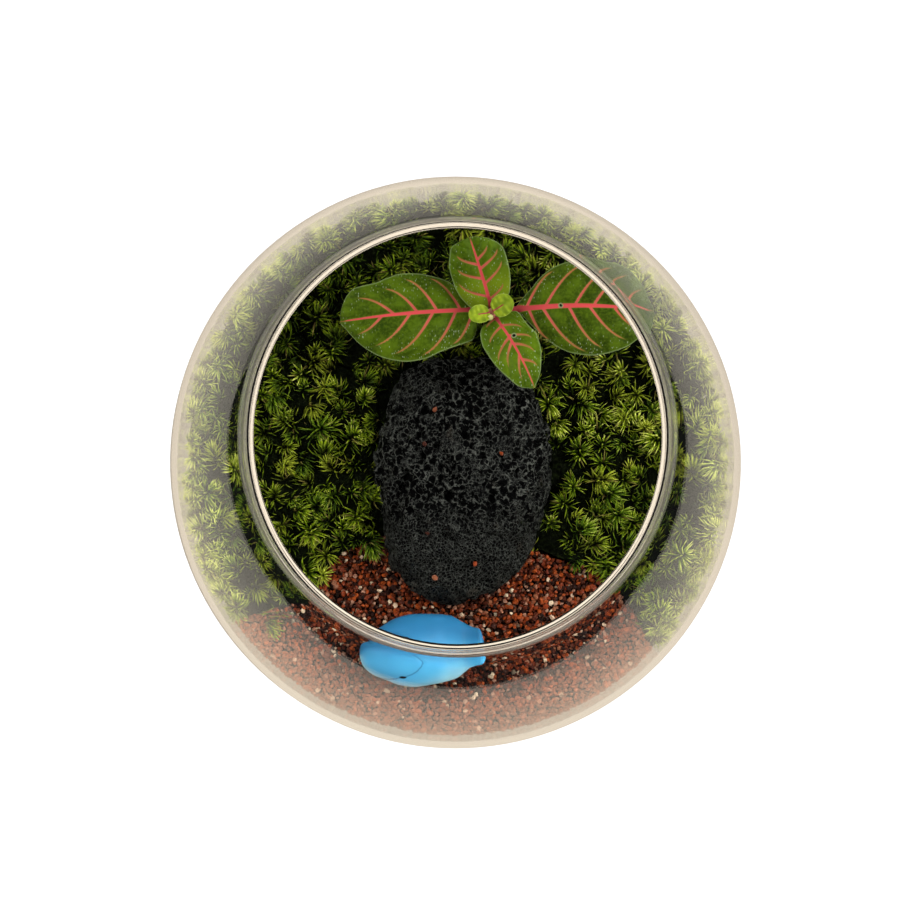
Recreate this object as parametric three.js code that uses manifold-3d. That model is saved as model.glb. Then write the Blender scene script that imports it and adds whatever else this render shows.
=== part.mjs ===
// A bowl terrarium: a clear glass globe with an open mouth, filled in layers (drainage pebbles,
// filter mesh, charcoal, potting soil), with a lava rock, moss cushions, a bed of red gravel,
// a small pink-veined plant and a vinyl whale figurine.
// Millimetres, +Z up. The origin is the centre of the bowl's foot, on the table.
// +Y is the back of the planting, where the small plant stands, and -Y is the gravel side.
import * as THREE from 'three';
import { mergeVertices } from 'three/addons/utils/BufferGeometryUtils.js';
import Module from 'manifold-3d';

const wasm = await Module();
wasm.setup();

// ---------------------------------------------------------------- driving dimensions

const GLOBE_RADIUS = 75; // outside of the glass
const GLOBE_Z = 66; // centre of the globe above the table
const WALL = 1.5;
const BASE_THICKNESS = 4.5;
const FOOT_RADIUS = 34.2; // outer edge of the flat ring that the bowl stands on
const PUNT_RADIUS = 27; // the slightly raised middle of the base
const PUNT_HEIGHT = 1;
const MOUTH_RADIUS = 47.15; // inside of the collar
const LIP_THICKNESS = 1.9;
const RIM_Z = 127;
const NECK = [[2.2, 6.4], [1.05, 4.6], [0.25, 2.3]]; // its outside: beyond the lip, below the rim
const SIDES = 48; // facets round the globe, shared by everything that fits its wall

const GAP = 0.3; // between neighbouring pieces
const PEBBLES_TOP = 20;
const MESH_THICKNESS = 0.6;
const CHARCOAL_THICKNESS = 6;
const GROUND_Z = 50.5; // potting soil at the middle of the bowl
const GROUND_SLOPE = 0.06; // the soil rises towards the back
const GROUND_RIPPLE = { height: 0.6, pitch: 17 }; // gentle unevenness of the soil
const GRAVEL_DEPTH = 5.5;
const GRAVEL_RIPPLE = { height: 0.6, pitch: 3 }; // little mounds in the gravel
const GRAVEL_CLIMB = { from: 61, to: 73, height: 7 }; // it is banked up against the glass
const MOSS_EDGE = 7; // height of a moss cushion at its rim and at its crown
const MOSS_CROWN = 10.5;
const MOSS_RIPPLE = { height: 0.8, pitch: 4.5 };
const MOSS_CLIMB = { from: 60, to: 73, front: 9, back: 13 }; // how far it grows up the glass
const SEAM = { swing: 0.08, pitch: 7, twist: 3 }; // the wavy line between two moss cushions

// boxiness is the power of the rounded block; narrow, low and lean shape its front end, rough
// is how far its skin strays, as a share of its size, and hollows are the dents in it.
const ROCK = { centre: [2.2, -3.5, 58], half: [23.6, 33.2, 18], boxiness: 2.7,
  narrow: 0.14, low: 0.42, lean: -3.2, rough: 0.03, hollows: { depth: 1, pitch: 1.9 } };
const ROOT_BALL = { x: 11, y: 41, topRadius: 9.5, bottomRadius: 7.5, bottomZ: 31, topZ: 52.2 };
const STEM_BEND = [10.6, 39.5, 75]; // pulls the stem's curve from its foot to its crown
const CROWN = [9.1, 35.9, 89]; // the tip of the plant's stem
const STEM_RADIUS = 1.3;
const LEAF_THICKNESS = 0.7;

const WHALE = { x: -9.2, y: -49.5, z: 52.4, turn: 5, length: 33.3, nose: -16.5 };

// ---------------------------------------------------------------- small tools

const degrees = THREE.MathUtils.degToRad;
const mix = THREE.MathUtils.lerp;
const ramp = THREE.MathUtils.smoothstep;

// A closed geometry as a manifold-3d solid.
function solid(geometry) {
  const bare = geometry.clone();
  bare.deleteAttribute('normal');
  bare.deleteAttribute('uv');
  const merged = mergeVertices(bare, 1e-4);
  return new wasm.Manifold(new wasm.Mesh({
    numProp: 3,
    vertProperties: merged.attributes.position.array,
    triVerts: new Uint32Array(merged.index.array),
  }));
}

// A manifold-3d solid as a geometry.
function geometryOf(shape) {
  const { vertProperties, triVerts } = shape.getMesh();
  const geometry = new THREE.BufferGeometry();
  geometry.setAttribute('position', new THREE.BufferAttribute(vertProperties, 3));
  geometry.setIndex(new THREE.BufferAttribute(triVerts, 1));
  geometry.computeVertexNormals();
  return geometry;
}

// A profile of [radius, height] pairs, from the axis and back to it, turned about Z.
function turned(profile, sides = SIDES) {
  const outline = profile.map(([radius, z]) => new THREE.Vector2(radius, z));
  return new THREE.LatheGeometry(outline, sides).rotateX(Math.PI / 2);
}

// Moves each corner of a geometry to where shape(x, y, z) says.
function reshaped(geometry, shape) {
  const corners = geometry.attributes.position;
  for (let i = 0; i < corners.count; i++) {
    corners.setXYZ(i, ...shape(corners.getX(i), corners.getY(i), corners.getZ(i)));
  }
  return geometry;
}

// A closed block between two sheets of cells: point(u, v, side) gives the corners of the
// lower sheet for side 0 and of the upper one for side 1.
function blockBetween(across, along, point) {
  const corners = [];
  const faces = [];
  const row = along + 1;
  const sheet = (across + 1) * row;
  const quad = (a, b, c, d) => faces.push(a, b, c, a, c, d);
  for (const side of [0, 1]) {
    for (let i = 0; i <= across; i++) {
      for (let j = 0; j <= along; j++) corners.push(...point(i / across, j / along, side));
    }
  }
  for (let i = 0; i < across; i++) {
    for (let j = 0; j < along; j++) {
      const a = i * row + j;
      quad(a, a + 1, a + row + 1, a + row);
      quad(sheet + a, sheet + a + row, sheet + a + row + 1, sheet + a + 1);
    }
    const [near, far] = [i * row, i * row + along];
    quad(near, near + row, sheet + near + row, sheet + near);
    quad(far + row, far, sheet + far, sheet + far + row);
  }
  for (let j = 0; j < along; j++) {
    const [first, last] = [j, across * row + j];
    quad(first + 1, first, sheet + first, sheet + first + 1);
    quad(last, last + 1, sheet + last + 1, sheet + last);
  }
  const geometry = new THREE.BufferGeometry();
  geometry.setAttribute('position', new THREE.Float32BufferAttribute(corners, 3));
  geometry.setIndex(faces);
  geometry.computeVertexNormals();
  return geometry;
}

// A value between the stations [place, value] of a list, straight from one to the next.
function between(stations, place) {
  const next = Math.max(1, stations.findIndex(([x]) => x >= place));
  const [[x0, a], [x1, b]] = [stations[next - 1], stations[next]];
  return mix(a, b, THREE.MathUtils.clamp((place - x0) / (x1 - x0), 0, 1));
}

// ---------------------------------------------------------------- the glass globe

// Points on a meridian of a sphere about the globe's centre, from one angle to another,
// measured in degrees from straight down.
function meridian(radius, from, to, steps) {
  return Array.from({ length: steps + 1 }, (_, i) => {
    const angle = degrees(mix(from, to, i / steps));
    return [radius * Math.sin(angle), GLOBE_Z - radius * Math.cos(angle)];
  });
}

function glassBowl() {
  const outer = GLOBE_RADIUS;
  const inner = GLOBE_RADIUS - WALL;
  const lip = LIP_THICKNESS / 2;
  const lipMiddle = MOUTH_RADIUS + lip;
  const floorEdge = Math.sqrt(inner ** 2 - (GLOBE_Z - BASE_THICKNESS) ** 2);
  const floorAngle = THREE.MathUtils.radToDeg(Math.asin(floorEdge / inner));
  const roundLip = [0, 30, 60, 90, 120, 150, 180].map((turn) => [
    lipMiddle + lip * Math.cos(degrees(turn)), RIM_Z - lip + lip * Math.sin(degrees(turn)),
  ]);
  return turned([
    [0, PUNT_HEIGHT], [PUNT_RADIUS - 3, PUNT_HEIGHT], [PUNT_RADIUS, 0], [FOOT_RADIUS, 0],
    [FOOT_RADIUS + 1.6, 0.25],
    ...meridian(outer, 29.6, 135.4, 15),
    ...NECK.map(([out, down]) => [MOUTH_RADIUS + LIP_THICKNESS + out, RIM_Z - down]),
    ...roundLip,
    [MOUTH_RADIUS, RIM_Z - 3], [MOUTH_RADIUS + 0.4, RIM_Z - 4.5],
    ...meridian(inner, 139.3, floorAngle, 14),
    [0, BASE_THICKNESS],
  ]);
}

// The room inside the glass, less the gap that keeps the filling clear of it.
const ROOM = GLOBE_RADIUS - WALL - GAP;
const roomRadius = (z) => Math.sqrt(ROOM ** 2 - (GLOBE_Z - z) ** 2);

// A flat layer that fits the glass from one height to another.
function layer(bottom, top, steps = 3) {
  const wall = Array.from({ length: steps + 1 }, (_, i) => mix(bottom, top, i / steps));
  return turned([[0, bottom], ...wall.map((z) => [roomRadius(z), z]), [0, top]]);
}

// ---------------------------------------------------------------- the ground

const ripple = (x, y, pitch) => Math.sin(x / pitch + 1) * Math.cos(y / (0.8 * pitch));
const groundZ = (x, y) => GROUND_Z + GROUND_SLOPE * y
  + GROUND_RIPPLE.height * ripple(x, y, GROUND_RIPPLE.pitch);
const gravelZ = (x, y) => groundZ(x, y) + GRAVEL_DEPTH
  + GRAVEL_RIPPLE.height * ripple(x, y, GRAVEL_RIPPLE.pitch)
  + GRAVEL_CLIMB.height * ramp(Math.hypot(x, y), GRAVEL_CLIMB.from, GRAVEL_CLIMB.to);

const pebblesBottom = BASE_THICKNESS + GAP;
const meshBottom = PEBBLES_TOP + GAP;
const charcoalBottom = meshBottom + MESH_THICKNESS + GAP;
const soilBottom = charcoalBottom + CHARCOAL_THICKNESS + GAP;
const fillingTop = GLOBE_Z + 14; // above the moss, so that the glass alone bounds it
const filling = solid(layer(soilBottom, fillingTop, 12));

// A block over the whole bowl between two heights that vary with x and y.
function groundBlock(bottom, top, cells = 14) {
  const reach = GLOBE_RADIUS;
  return solid(blockBetween(cells, cells, (u, v, side) => {
    const [x, y] = [mix(-reach, reach, u), mix(-reach, reach, v)];
    return [x, y, side ? top(x, y) : bottom(x, y)];
  }));
}

// The gravel's edge, from the glass on the left, under the rock, to the glass on the right,
// closed outside the bowl. shift moves it, to leave a gap beside the moss.
function gravelZone(shift = 0) {
  const outside = GLOBE_RADIUS + 10;
  const edge = [
    [-72, -47], [-52, -39.5], [-36, -35.5], [-23, -32], [-10, -20], [8, -15],
    [19, -21], [29, -25.5], [38, -28.5], [46, -36], [52, -48], [60, -66],
  ].map(([x, y]) => new THREE.Vector2(x + 0.8 * shift, y + shift));
  const outline = new THREE.Shape(new THREE.SplineCurve(edge).getPoints(33));
  outline.lineTo(outside, -outside);
  outline.lineTo(-outside, -outside);
  return solid(new THREE.ExtrudeGeometry(outline, { depth: fillingTop, bevelEnabled: false }));
}

// ---------------------------------------------------------------- the lava rock

// How deep the rock's skin is dented at a point, where the froth burst.
function hollow(x, y, z) {
  const wave = Math.sin(x / ROCK.hollows.pitch + Math.sin(y / 3))
    * Math.sin(y / ROCK.hollows.pitch + 1 + Math.sin(z / 3));
  return ROCK.hollows.depth * ramp(Math.abs(wave), 0.25, 0.9);
}

// A lump of lava: a rounded block, narrower and lower towards the front, with a rough skin.
function lavaRock(grow = 0) {
  const [halfX, halfY, halfZ] = ROCK.half.map((half) => half + grow);
  const { centre, boxiness: power, narrow, low, lean, rough } = ROCK;
  return reshaped(new THREE.IcosahedronGeometry(1, 13), (dx, dy, dz) => {
    const sum = Math.abs(dx) ** power + Math.abs(dy) ** power + Math.abs(dz) ** power;
    const [bx, by, bz] = [dx, dy, dz].map((d) => d / sum ** (1 / power));
    const front = ramp(-by, -0.1, 1);
    const skin = 1 + rough * (Math.sin(7 * dx + 2) * Math.cos(6 * dy - 1)
      + 0.8 * Math.sin(9 * dy + 4 * dz) * Math.cos(8 * dx + 3 * dz));
    const top = bz > 0 ? 1 - low * front : 1;
    const [x, y, z] = [
      centre[0] + halfX * bx * (1 - narrow * front) * skin + lean * front ** 2,
      centre[1] + halfY * by * skin,
      centre[2] + halfZ * bz * top * skin,
    ];
    const sunk = hollow(x, y, z);
    return [x - sunk * dx, y - sunk * dy, z - sunk * dz];
  });
}

// ---------------------------------------------------------------- moss

// Each cushion is a slice of the ring between the rock and the glass, domed on top and with
// wavy sides. The angles are its two sides, anticlockwise from +X in degrees.
const CUSHIONS = [
  ['moss_right_front', 308, 345],
  ['moss_right', 345, 380],
  ['moss_right_back', 20, 56],
  ['moss_back', 56, 96],
  ['moss_left_back', 96, 136],
  ['moss_left', 136, 176],
  ['moss_left_front', 176, 222],
];

function mossCushion(from, to) {
  const clear = 0.35; // degrees between a side and the seam that it shares with its neighbour
  const [start, end, hollow] = [from + clear, to - clear, 14];
  return solid(blockBetween(12, 6, (u, v, upper) => {
    const radius = mix(hollow, GLOBE_RADIUS, u);
    const straight = degrees(mix(start, end, v));
    const angle = straight + SEAM.swing * Math.sin(radius / SEAM.pitch + SEAM.twist * straight);
    const [x, y] = [radius * Math.cos(angle), radius * Math.sin(angle)];
    const dome = 1 - (2 * v - 1) ** 4;
    const climb = ramp(radius, MOSS_CLIMB.from, MOSS_CLIMB.to)
      * mix(MOSS_CLIMB.front, MOSS_CLIMB.back, ramp(y, -10, 60));
    const top = mix(MOSS_EDGE, MOSS_CROWN, dome) + climb
      + MOSS_RIPPLE.height * ripple(x, y, MOSS_RIPPLE.pitch);
    return [x, y, groundZ(x, y) + (upper ? top : GAP)];
  }));
}

// ---------------------------------------------------------------- the small plant

function rootBall(grow = 0) {
  const { x, y, topRadius, bottomRadius, bottomZ, topZ } = ROOT_BALL;
  return turned([
    [0, bottomZ - grow], [bottomRadius - 1 + grow, bottomZ - grow],
    [bottomRadius + grow, bottomZ + 1], [topRadius + grow, topZ - 1],
    [topRadius - 1 + grow, topZ + grow], [0, topZ + grow],
  ], 20).translate(x, y, 0);
}

const stemLine = new THREE.QuadraticBezierCurve3(
  new THREE.Vector3(ROOT_BALL.x, ROOT_BALL.y, ROOT_BALL.topZ + GAP),
  new THREE.Vector3(...STEM_BEND),
  new THREE.Vector3(...CROWN),
);

// The stem, or with grow the space that it takes.
function stem(grow = 0) {
  const section = new THREE.Shape().absarc(0, 0, STEM_RADIUS + grow, 0, 2 * Math.PI);
  return new THREE.ExtrudeGeometry(section,
    { steps: 12, curveSegments: 5, extrudePath: stemLine, bevelEnabled: false });
}

// Where the stem's middle is at a height.
function stemAt(height) {
  let [low, high] = [0, 1];
  for (let i = 0; i < 24; i++) {
    const middle = (low + high) / 2;
    if (stemLine.getPoint(middle).z < height) low = middle;
    else high = middle;
  }
  return stemLine.getPoint(low);
}

// azimuth and pitch are the way the leaf leaves the stem, in degrees, and bend is how far it
// has turned down at its tip. start is where its stalk begins, measured from the middle of
// the stem, beside is how far the stalk stands to one side of it, and sway is the midrib's
// sideways bow. margins are the half widths of the blade, left and right of the midrib seen
// from the stem, at the shares of its length in STATIONS.
const STATIONS = [0, 0.02, 0.06, 0.12, 0.2, 0.3, 0.42, 0.54, 0.64, 0.72, 0.8, 0.87, 0.93, 0.97, 1];
const ON_STEM = STEM_RADIUS + GAP;
const ROUND_MARGIN = [0, 0.5, 0.75, 0.9, 1.05, 1.15, 1.2, 1.2, 1.15, 1.07, 0.95, 0.8, 0.62, 0.4, 0];
const LEAVES = [
  { name: 'leaf_left', height: 83.5, azimuth: 185.8, pitch: 22, bend: 34, start: ON_STEM,
    beside: -0.9, sway: -0.2, petiole: 2.5, length: 35.9, droop: 1.6, margins: [
      [0, 5.2, 7.8, 8.5, 9.3, 10.4, 11.9, 12.2, 11.6, 10.6, 8.8, 6.6, 3.9, 1.9, 0],
      [0, 0.6, 2.2, 5, 7.9, 9.4, 10.4, 10.7, 9.9, 9, 8.6, 8.3, 6.7, 4.4, 0]] },
  { name: 'leaf_right', height: 83.5, azimuth: -0.7, pitch: 20, bend: 34, start: ON_STEM,
    beside: 0.5, sway: 0.8, petiole: 4.2, length: 36.4, droop: 1.6, margins: [
      [0, 1.2, 2.9, 5.2, 8.5, 10.8, 12, 12.2, 12, 11.6, 10.7, 8.6, 5.4, 2.2, 0],
      [0, 0.4, 1.9, 4.5, 7.3, 10.2, 12.2, 12.7, 12.2, 11.3, 10.1, 8.1, 6.2, 4.3, 0]] },
  { name: 'leaf_back', height: 87, azimuth: 109.4, pitch: 46, bend: 34, start: ON_STEM,
    beside: -0.4, sway: 0, petiole: 0.2, length: 19.3, droop: 1, margins: [
      [0, 3.6, 4.8, 5.5, 6.2, 7, 7.4, 7.5, 7.5, 7.3, 6.8, 6.2, 5.6, 4.7, 0],
      [0, 2.5, 4.6, 5.7, 6.2, 6.8, 7.2, 7.4, 7.5, 7.4, 6.7, 5.4, 3.9, 2.2, 0]] },
  { name: 'leaf_front', height: 87, azimuth: -62.4, pitch: 30, bend: 40, start: ON_STEM,
    beside: 0.2, sway: 0.6, petiole: 0.2, length: 21.6, droop: 1, margins: [
      [0, 5, 5.7, 5.9, 5.8, 5.9, 6.5, 6.1, 5.5, 4.7, 3.8, 2.9, 1.8, 0.8, 0],
      [0, 4, 5.1, 5.9, 6.6, 7, 7, 6.7, 6.1, 5.5, 4.8, 4.1, 3, 1.6, 0]] },
  { name: 'young_leaf_left', height: 90, azimuth: 193, pitch: 34, bend: 30, start: 0.4,
    beside: 0, sway: 0, petiole: 0.1, length: 5.8, droop: -0.3, margins: [
      ROUND_MARGIN.map((half) => 2 * half), ROUND_MARGIN.map((half) => 2 * half)] },
  { name: 'young_leaf_right', height: 90, azimuth: 29, pitch: 38, bend: 30, start: 0.4,
    beside: 0, sway: 0, petiole: 0.1, length: 6.2, droop: -0.3, margins: [
      ROUND_MARGIN.map((half) => 2.4 * half), ROUND_MARGIN.map((half) => 2.4 * half)] },
];

function leaf({ height, azimuth, pitch, bend, start, beside, sway, petiole, length, droop,
  margins }) {
  const foot = stemAt(height);
  const [left, right] = margins.map((halves) => halves.map((half, i) => [STATIONS[i], half]));
  const widest = Math.max(...margins[0], ...margins[1]);
  const whole = petiole + length;
  const stalk = Math.min(0.9, widest / 4);
  const turn = degrees(azimuth);
  const [risen, curl] = [degrees(pitch), degrees(bend)];
  const arc = whole / curl; // radius of the midrib's arc
  return blockBetween(18, 6, (u, v, upper) => {
    const along = whole * (1 - Math.cos(Math.PI * mix(0.03, 0.97, u))) / 2;
    const share = Math.max(0, (along - petiole) / length);
    const edge = (side) => Math.max(stalk, between(side, share));
    const across = mix(-edge(right), edge(left), v);
    const aside = across + beside + 4 * sway * share * (1 - share);
    const leaning = risen - along / arc;
    const out = start + arc * (Math.sin(risen) - Math.sin(leaning));
    const thick = mix(2 * stalk, LEAF_THICKNESS, ramp(share, 0, 0.15));
    const sag = droop * (across / widest) ** 2;
    const up = arc * (Math.cos(leaning) - Math.cos(risen)) - sag + (upper - 0.5) * thick;
    return [
      foot.x + out * Math.cos(turn) - aside * Math.sin(turn),
      foot.y + out * Math.sin(turn) + aside * Math.cos(turn),
      height + up,
    ];
  });
}

// ---------------------------------------------------------------- the whale figurine

// Along the body, from the nose: half width, underside and top.
const WHALE_WIDTH = [
  [0, 0], [0.9, 3.2], [3, 5.4], [6.5, 7.2], [10.5, 9], [14.5, 9.7], [20.5, 9.3],
  [25, 8.5], [28, 6.6], [30.5, 4.9], [32.4, 4.2], [33.3, 0],
];
const WHALE_BELLY = [
  [0, 6], [0.6, 3.4], [2.5, 1.2], [6, 0], [22, 0], [26.5, 2.6], [29.5, 6.8], [31.5, 9.8],
  [33.3, 12.8],
];
const WHALE_BACK = [
  [0, 6], [0.6, 9.2], [2.4, 11.8], [5.5, 13.6], [10, 14.6], [15, 14.6], [20, 13.2],
  [24, 11.2], [27.5, 10.8], [30.5, 12.8], [32.4, 15], [33.3, 14.4],
];

function whale(grow = 0) {
  const body = new THREE.SphereGeometry(1, 22, 20).rotateZ(Math.PI / 2);
  reshaped(body, (dx, dy, dz) => {
    const place = WHALE.length * (1 + dx) / 2;
    const round = Math.hypot(dy, dz) || 1;
    const [belly, back] = [between(WHALE_BELLY, place), between(WHALE_BACK, place)];
    const half = between(WHALE_WIDTH, place) + grow * Math.hypot(dy, dz);
    const rise = (back - belly) / 2 + grow * Math.hypot(dy, dz);
    return [
      WHALE.nose + place + grow * dx,
      half * dy / round,
      (belly + back) / 2 + rise * dz / round,
    ];
  });
  return body.rotateZ(degrees(WHALE.turn)).translate(WHALE.x, WHALE.y, WHALE.z);
}

// ---------------------------------------------------------------- fitting the pieces together

const rockSeat = solid(lavaRock(GAP + 0.15));
const rootSeat = solid(rootBall(GAP));
const stemHole = solid(stem(GAP));
const whaleSeat = solid(whale(GAP));
const gravelEdge = gravelZone(0.45);

function pottingSoil() {
  return groundBlock(() => 0, groundZ)
    .intersect(filling).subtract(rockSeat).subtract(rootSeat);
}

function redGravel() {
  return groundBlock((x, y) => groundZ(x, y) + GAP, gravelZ, 30)
    .intersect(filling).intersect(gravelZone()).subtract(rockSeat).subtract(whaleSeat);
}

function mossPiece(from, to) {
  return mossCushion(from, to)
    .intersect(filling).subtract(rockSeat).subtract(gravelEdge).subtract(stemHole);
}

// ---------------------------------------------------------------- the assembly

const finish = (color, roughness, more = {}) =>
  new THREE.MeshStandardMaterial({ color, roughness, metalness: 0, ...more });
const GLASS = finish(0xf2f6f4, 0.03, { transparent: true, opacity: 0.25 });
const PEBBLE = finish(0xa39c90, 0.6);
const MESH = finish(0x1d2322, 0.8);
const CHARCOAL = finish(0x17181a, 0.85);
const SOIL = finish(0x2b1d14, 0.95);
const GRAVEL = finish(0x93462d, 0.75);
const LAVA = finish(0x2a2c2d, 0.8);
const MOSS = finish(0x46680f, 0.85);
const ROOTS = finish(0x4a3524, 0.95);
const STEM = finish(0x8c4a42, 0.6);
const LEAF = finish(0x4c7a2a, 0.5);
const YOUNG_LEAF = finish(0x84a534, 0.5);
const VINYL = finish(0x46a3e0, 0.4);

const terrarium = new THREE.Group();

function add(name, geometry, material) {
  const mesh = new THREE.Mesh(geometry, material);
  mesh.name = name;
  terrarium.add(mesh);
}

add('glass_bowl', glassBowl(), GLASS);
add('drainage_pebbles', layer(pebblesBottom, PEBBLES_TOP), PEBBLE);
add('filter_mesh', layer(meshBottom, meshBottom + MESH_THICKNESS, 1), MESH);
add('charcoal_layer', layer(charcoalBottom, charcoalBottom + CHARCOAL_THICKNESS), CHARCOAL);
add('potting_soil', geometryOf(pottingSoil()), SOIL);
add('red_gravel', geometryOf(redGravel()), GRAVEL);
add('lava_rock', lavaRock(), LAVA);
for (const [name, from, to] of CUSHIONS) add(name, geometryOf(mossPiece(from, to)), MOSS);
add('root_ball', rootBall(), ROOTS);
add('plant_stem', stem(), STEM);
for (const form of LEAVES) {
  add(form.name, leaf(form), form.name.startsWith('young') ? YOUNG_LEAF : LEAF);
}
add('whale_figurine', whale(), VINYL);

export default terrarium;
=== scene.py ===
import math

import bpy
import numpy as np
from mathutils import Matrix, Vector


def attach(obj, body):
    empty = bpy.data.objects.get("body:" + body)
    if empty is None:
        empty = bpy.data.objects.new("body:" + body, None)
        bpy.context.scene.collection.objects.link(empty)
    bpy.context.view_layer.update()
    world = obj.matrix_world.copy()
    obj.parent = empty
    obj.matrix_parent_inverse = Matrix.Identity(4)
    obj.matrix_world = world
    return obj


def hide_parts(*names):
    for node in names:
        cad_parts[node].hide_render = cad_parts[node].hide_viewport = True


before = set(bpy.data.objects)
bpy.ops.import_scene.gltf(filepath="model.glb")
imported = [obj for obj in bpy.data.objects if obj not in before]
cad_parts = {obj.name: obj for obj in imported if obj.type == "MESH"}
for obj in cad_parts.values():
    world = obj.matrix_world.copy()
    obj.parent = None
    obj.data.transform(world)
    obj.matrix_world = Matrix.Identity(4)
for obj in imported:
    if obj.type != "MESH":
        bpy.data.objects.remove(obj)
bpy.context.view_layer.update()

# Lengths are in millimetres and become metres where a mesh is made. Shaders work in metres.
# +Y is the back of the planting and -Y the gravel side, as in the solids.

MM = 0.001
FULL_TURN = 2 * math.pi
dice = np.random.default_rng(20)

# ---------------------------------------------------------------- sizes shared with the solids

# The globe, the height of its middle, its wall and the thickness of its floor.
GLOBE_RADIUS, GLOBE_Z, WALL, BASE = 75.0, 66.0, 1.5, 4.5
GLOBE_MIDDLE = np.array([0, 0, GLOBE_Z])
INSIDE = GLOBE_RADIUS - WALL
# The ring that it stands on, with a shallow hollow inside it, and the lip round its mouth.
FOOT_RADIUS, PUNT_RADIUS, PUNT_HEIGHT = 34.2, 27.0, 1.0
MOUTH_RADIUS, LIP, RIM_Z = 47.15, 1.7, 127.0
# The layers below the planting, from their undersides to their tops.
PEBBLES = (4.8, 20.0)
CHARCOAL = (21.2, 27.2)
SOIL_BOTTOM = 27.5
GRAVEL_DEPTH = 5.5
# The rock is a rounded box whose front half gets narrower and lower and leans to the left.
ROCK = dict(centre=(2.2, -3.5, 58.0), half=(23.6, 33.2, 18.0), boxiness=2.7,
            narrow=0.14, low=0.42, lean=-3.2, rough=0.03)
# Between which angles, in degrees from the right-hand side, each cushion of moss lies.
CUSHIONS = {
    "moss_right_front": (308, 345), "moss_right": (345, 380), "moss_right_back": (20, 56),
    "moss_back": (56, 96), "moss_left_back": (96, 136), "moss_left": (136, 176),
    "moss_left_front": (176, 222),
}
# Where the gravel ends and the moss begins, from left to right.
GRAVEL_EDGE = [(-72, -47), (-52, -39.5), (-36, -35.5), (-23, -32), (-10, -20), (8, -15),
               (19, -21), (29, -25.5), (38, -28.5), (46, -36), (52, -48), (60, -66)]


# ---------------------------------------------------------------- small tools

def mix(a, b, share):
    return a + (b - a) * share


def ramp(x, low, high):
    t = np.clip((x - low) / (high - low), 0, 1)
    return t * t * (3 - 2 * t)


def stations(places, values, x):
    """A smooth curve through values at places, read at x."""
    places, values = np.asarray(places, float), np.asarray(values, float)
    steps = np.diff(values) / np.diff(places)
    slope = np.zeros_like(values)
    same = steps[:-1] * steps[1:] > 0
    slope[1:-1][same] = 2 * steps[:-1][same] * steps[1:][same] / (steps[:-1] + steps[1:])[same]
    slope[0], slope[-1] = steps[0], steps[-1]
    i = np.clip(np.searchsorted(places, x) - 1, 0, len(places) - 2)
    width = places[i + 1] - places[i]
    t = np.clip((x - places[i]) / width, 0, 1)
    return ((1 + 2 * t) * (1 - t) ** 2 * values[i] + t * (1 - t) ** 2 * width * slope[i]
            + t * t * (3 - 2 * t) * values[i + 1] + t * t * (t - 1) * width * slope[i + 1])


def spline(points, steps):
    """Points along an even Catmull-Rom curve through the given ones."""
    p = np.asarray(points, float)
    p = np.vstack([p[:1], p, p[-1:]])
    out = []
    for share in np.linspace(0, len(points) - 1, steps + 1):
        i = min(int(share), len(points) - 2)
        t = share - i
        a, b, c, d = p[i:i + 4]
        bend = 2 * a - 5 * b + 4 * c - d + t * (3 * (b - c) + d - a)
        out.append(b + 0.5 * t * (c - a + t * bend))
    return np.array(out)


def inside_outline(outline, x, y):
    """Whether each point lies inside a closed outline."""
    inside = np.zeros(np.shape(x), bool)
    for (x0, y0), (x1, y1) in zip(outline, np.roll(outline, -1, axis=0)):
        crosses = (y0 > y) != (y1 > y)
        with np.errstate(divide="ignore", invalid="ignore"):
            at = x0 + (y - y0) * (x1 - x0) / (y1 - y0)
        inside ^= crosses & (x < at)
    return inside


def unit(v):
    return v / np.maximum(np.linalg.norm(v, axis=-1, keepdims=True), 1e-9)


def around(radius, turn):
    """x and y at a distance from the bowl's axis and an angle in radians."""
    return radius * np.cos(turn), radius * np.sin(turn)


def staggered(count, row):
    """Angles of places all round a ring, moved on by half a step in every other row."""
    return (np.arange(count) + 0.5 * (row % 2)) * FULL_TURN / count


def deselect():
    if bpy.context.object and bpy.context.object.mode != "OBJECT":
        bpy.ops.object.mode_set(mode="OBJECT")
    bpy.ops.object.select_all(action="DESELECT")


def choose(piece):
    deselect()
    bpy.context.view_layer.objects.active = piece
    piece.select_set(True)


def added(name, data):
    """A new object in the scene that shows the given data."""
    thing = bpy.data.objects.new(name, data)
    bpy.context.scene.collection.objects.link(thing)
    return thing


def corners(piece):
    """The corner points of a piece, in millimetres."""
    points = np.empty(len(piece.data.vertices) * 3, np.float32)
    piece.data.vertices.foreach_get("co", points)
    return points.reshape(-1, 3).astype(float) / MM


def in_metres(points):
    return (np.asarray(points) * MM).astype(np.float32).ravel()


def move_corners(piece, points):
    piece.data.vertices.foreach_set("co", in_metres(points))
    piece.data.update()


def started(name):
    """Names the primitive that was just added and puts its place in its mesh."""
    piece = bpy.context.object
    piece.name = piece.data.name = name
    bpy.ops.object.transform_apply(location=True, rotation=True, scale=True)
    return piece


def select_whole():
    bpy.ops.mesh.select_all(action="SELECT")


def in_edit_mode(piece, *steps):
    """Takes the steps on the whole of a piece."""
    choose(piece)
    bpy.ops.object.mode_set(mode="EDIT")
    select_whole()
    for step in steps:
        step()
    bpy.ops.object.mode_set(mode="OBJECT")


# Steps in edit mode, each made to be taken later.

def cut(height, **settings):
    return lambda: bpy.ops.mesh.bisect(plane_co=(0, 0, height), plane_no=(0, 0, 1), **settings)


def finer(cuts):
    return lambda: bpy.ops.mesh.subdivide(number_cuts=cuts)


def close_seams():
    bpy.ops.mesh.remove_doubles(threshold=1e-6)


def outward():
    """Closes seams and turns all faces outwards."""
    close_seams()
    bpy.ops.mesh.normals_make_consistent(inside=False)


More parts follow.
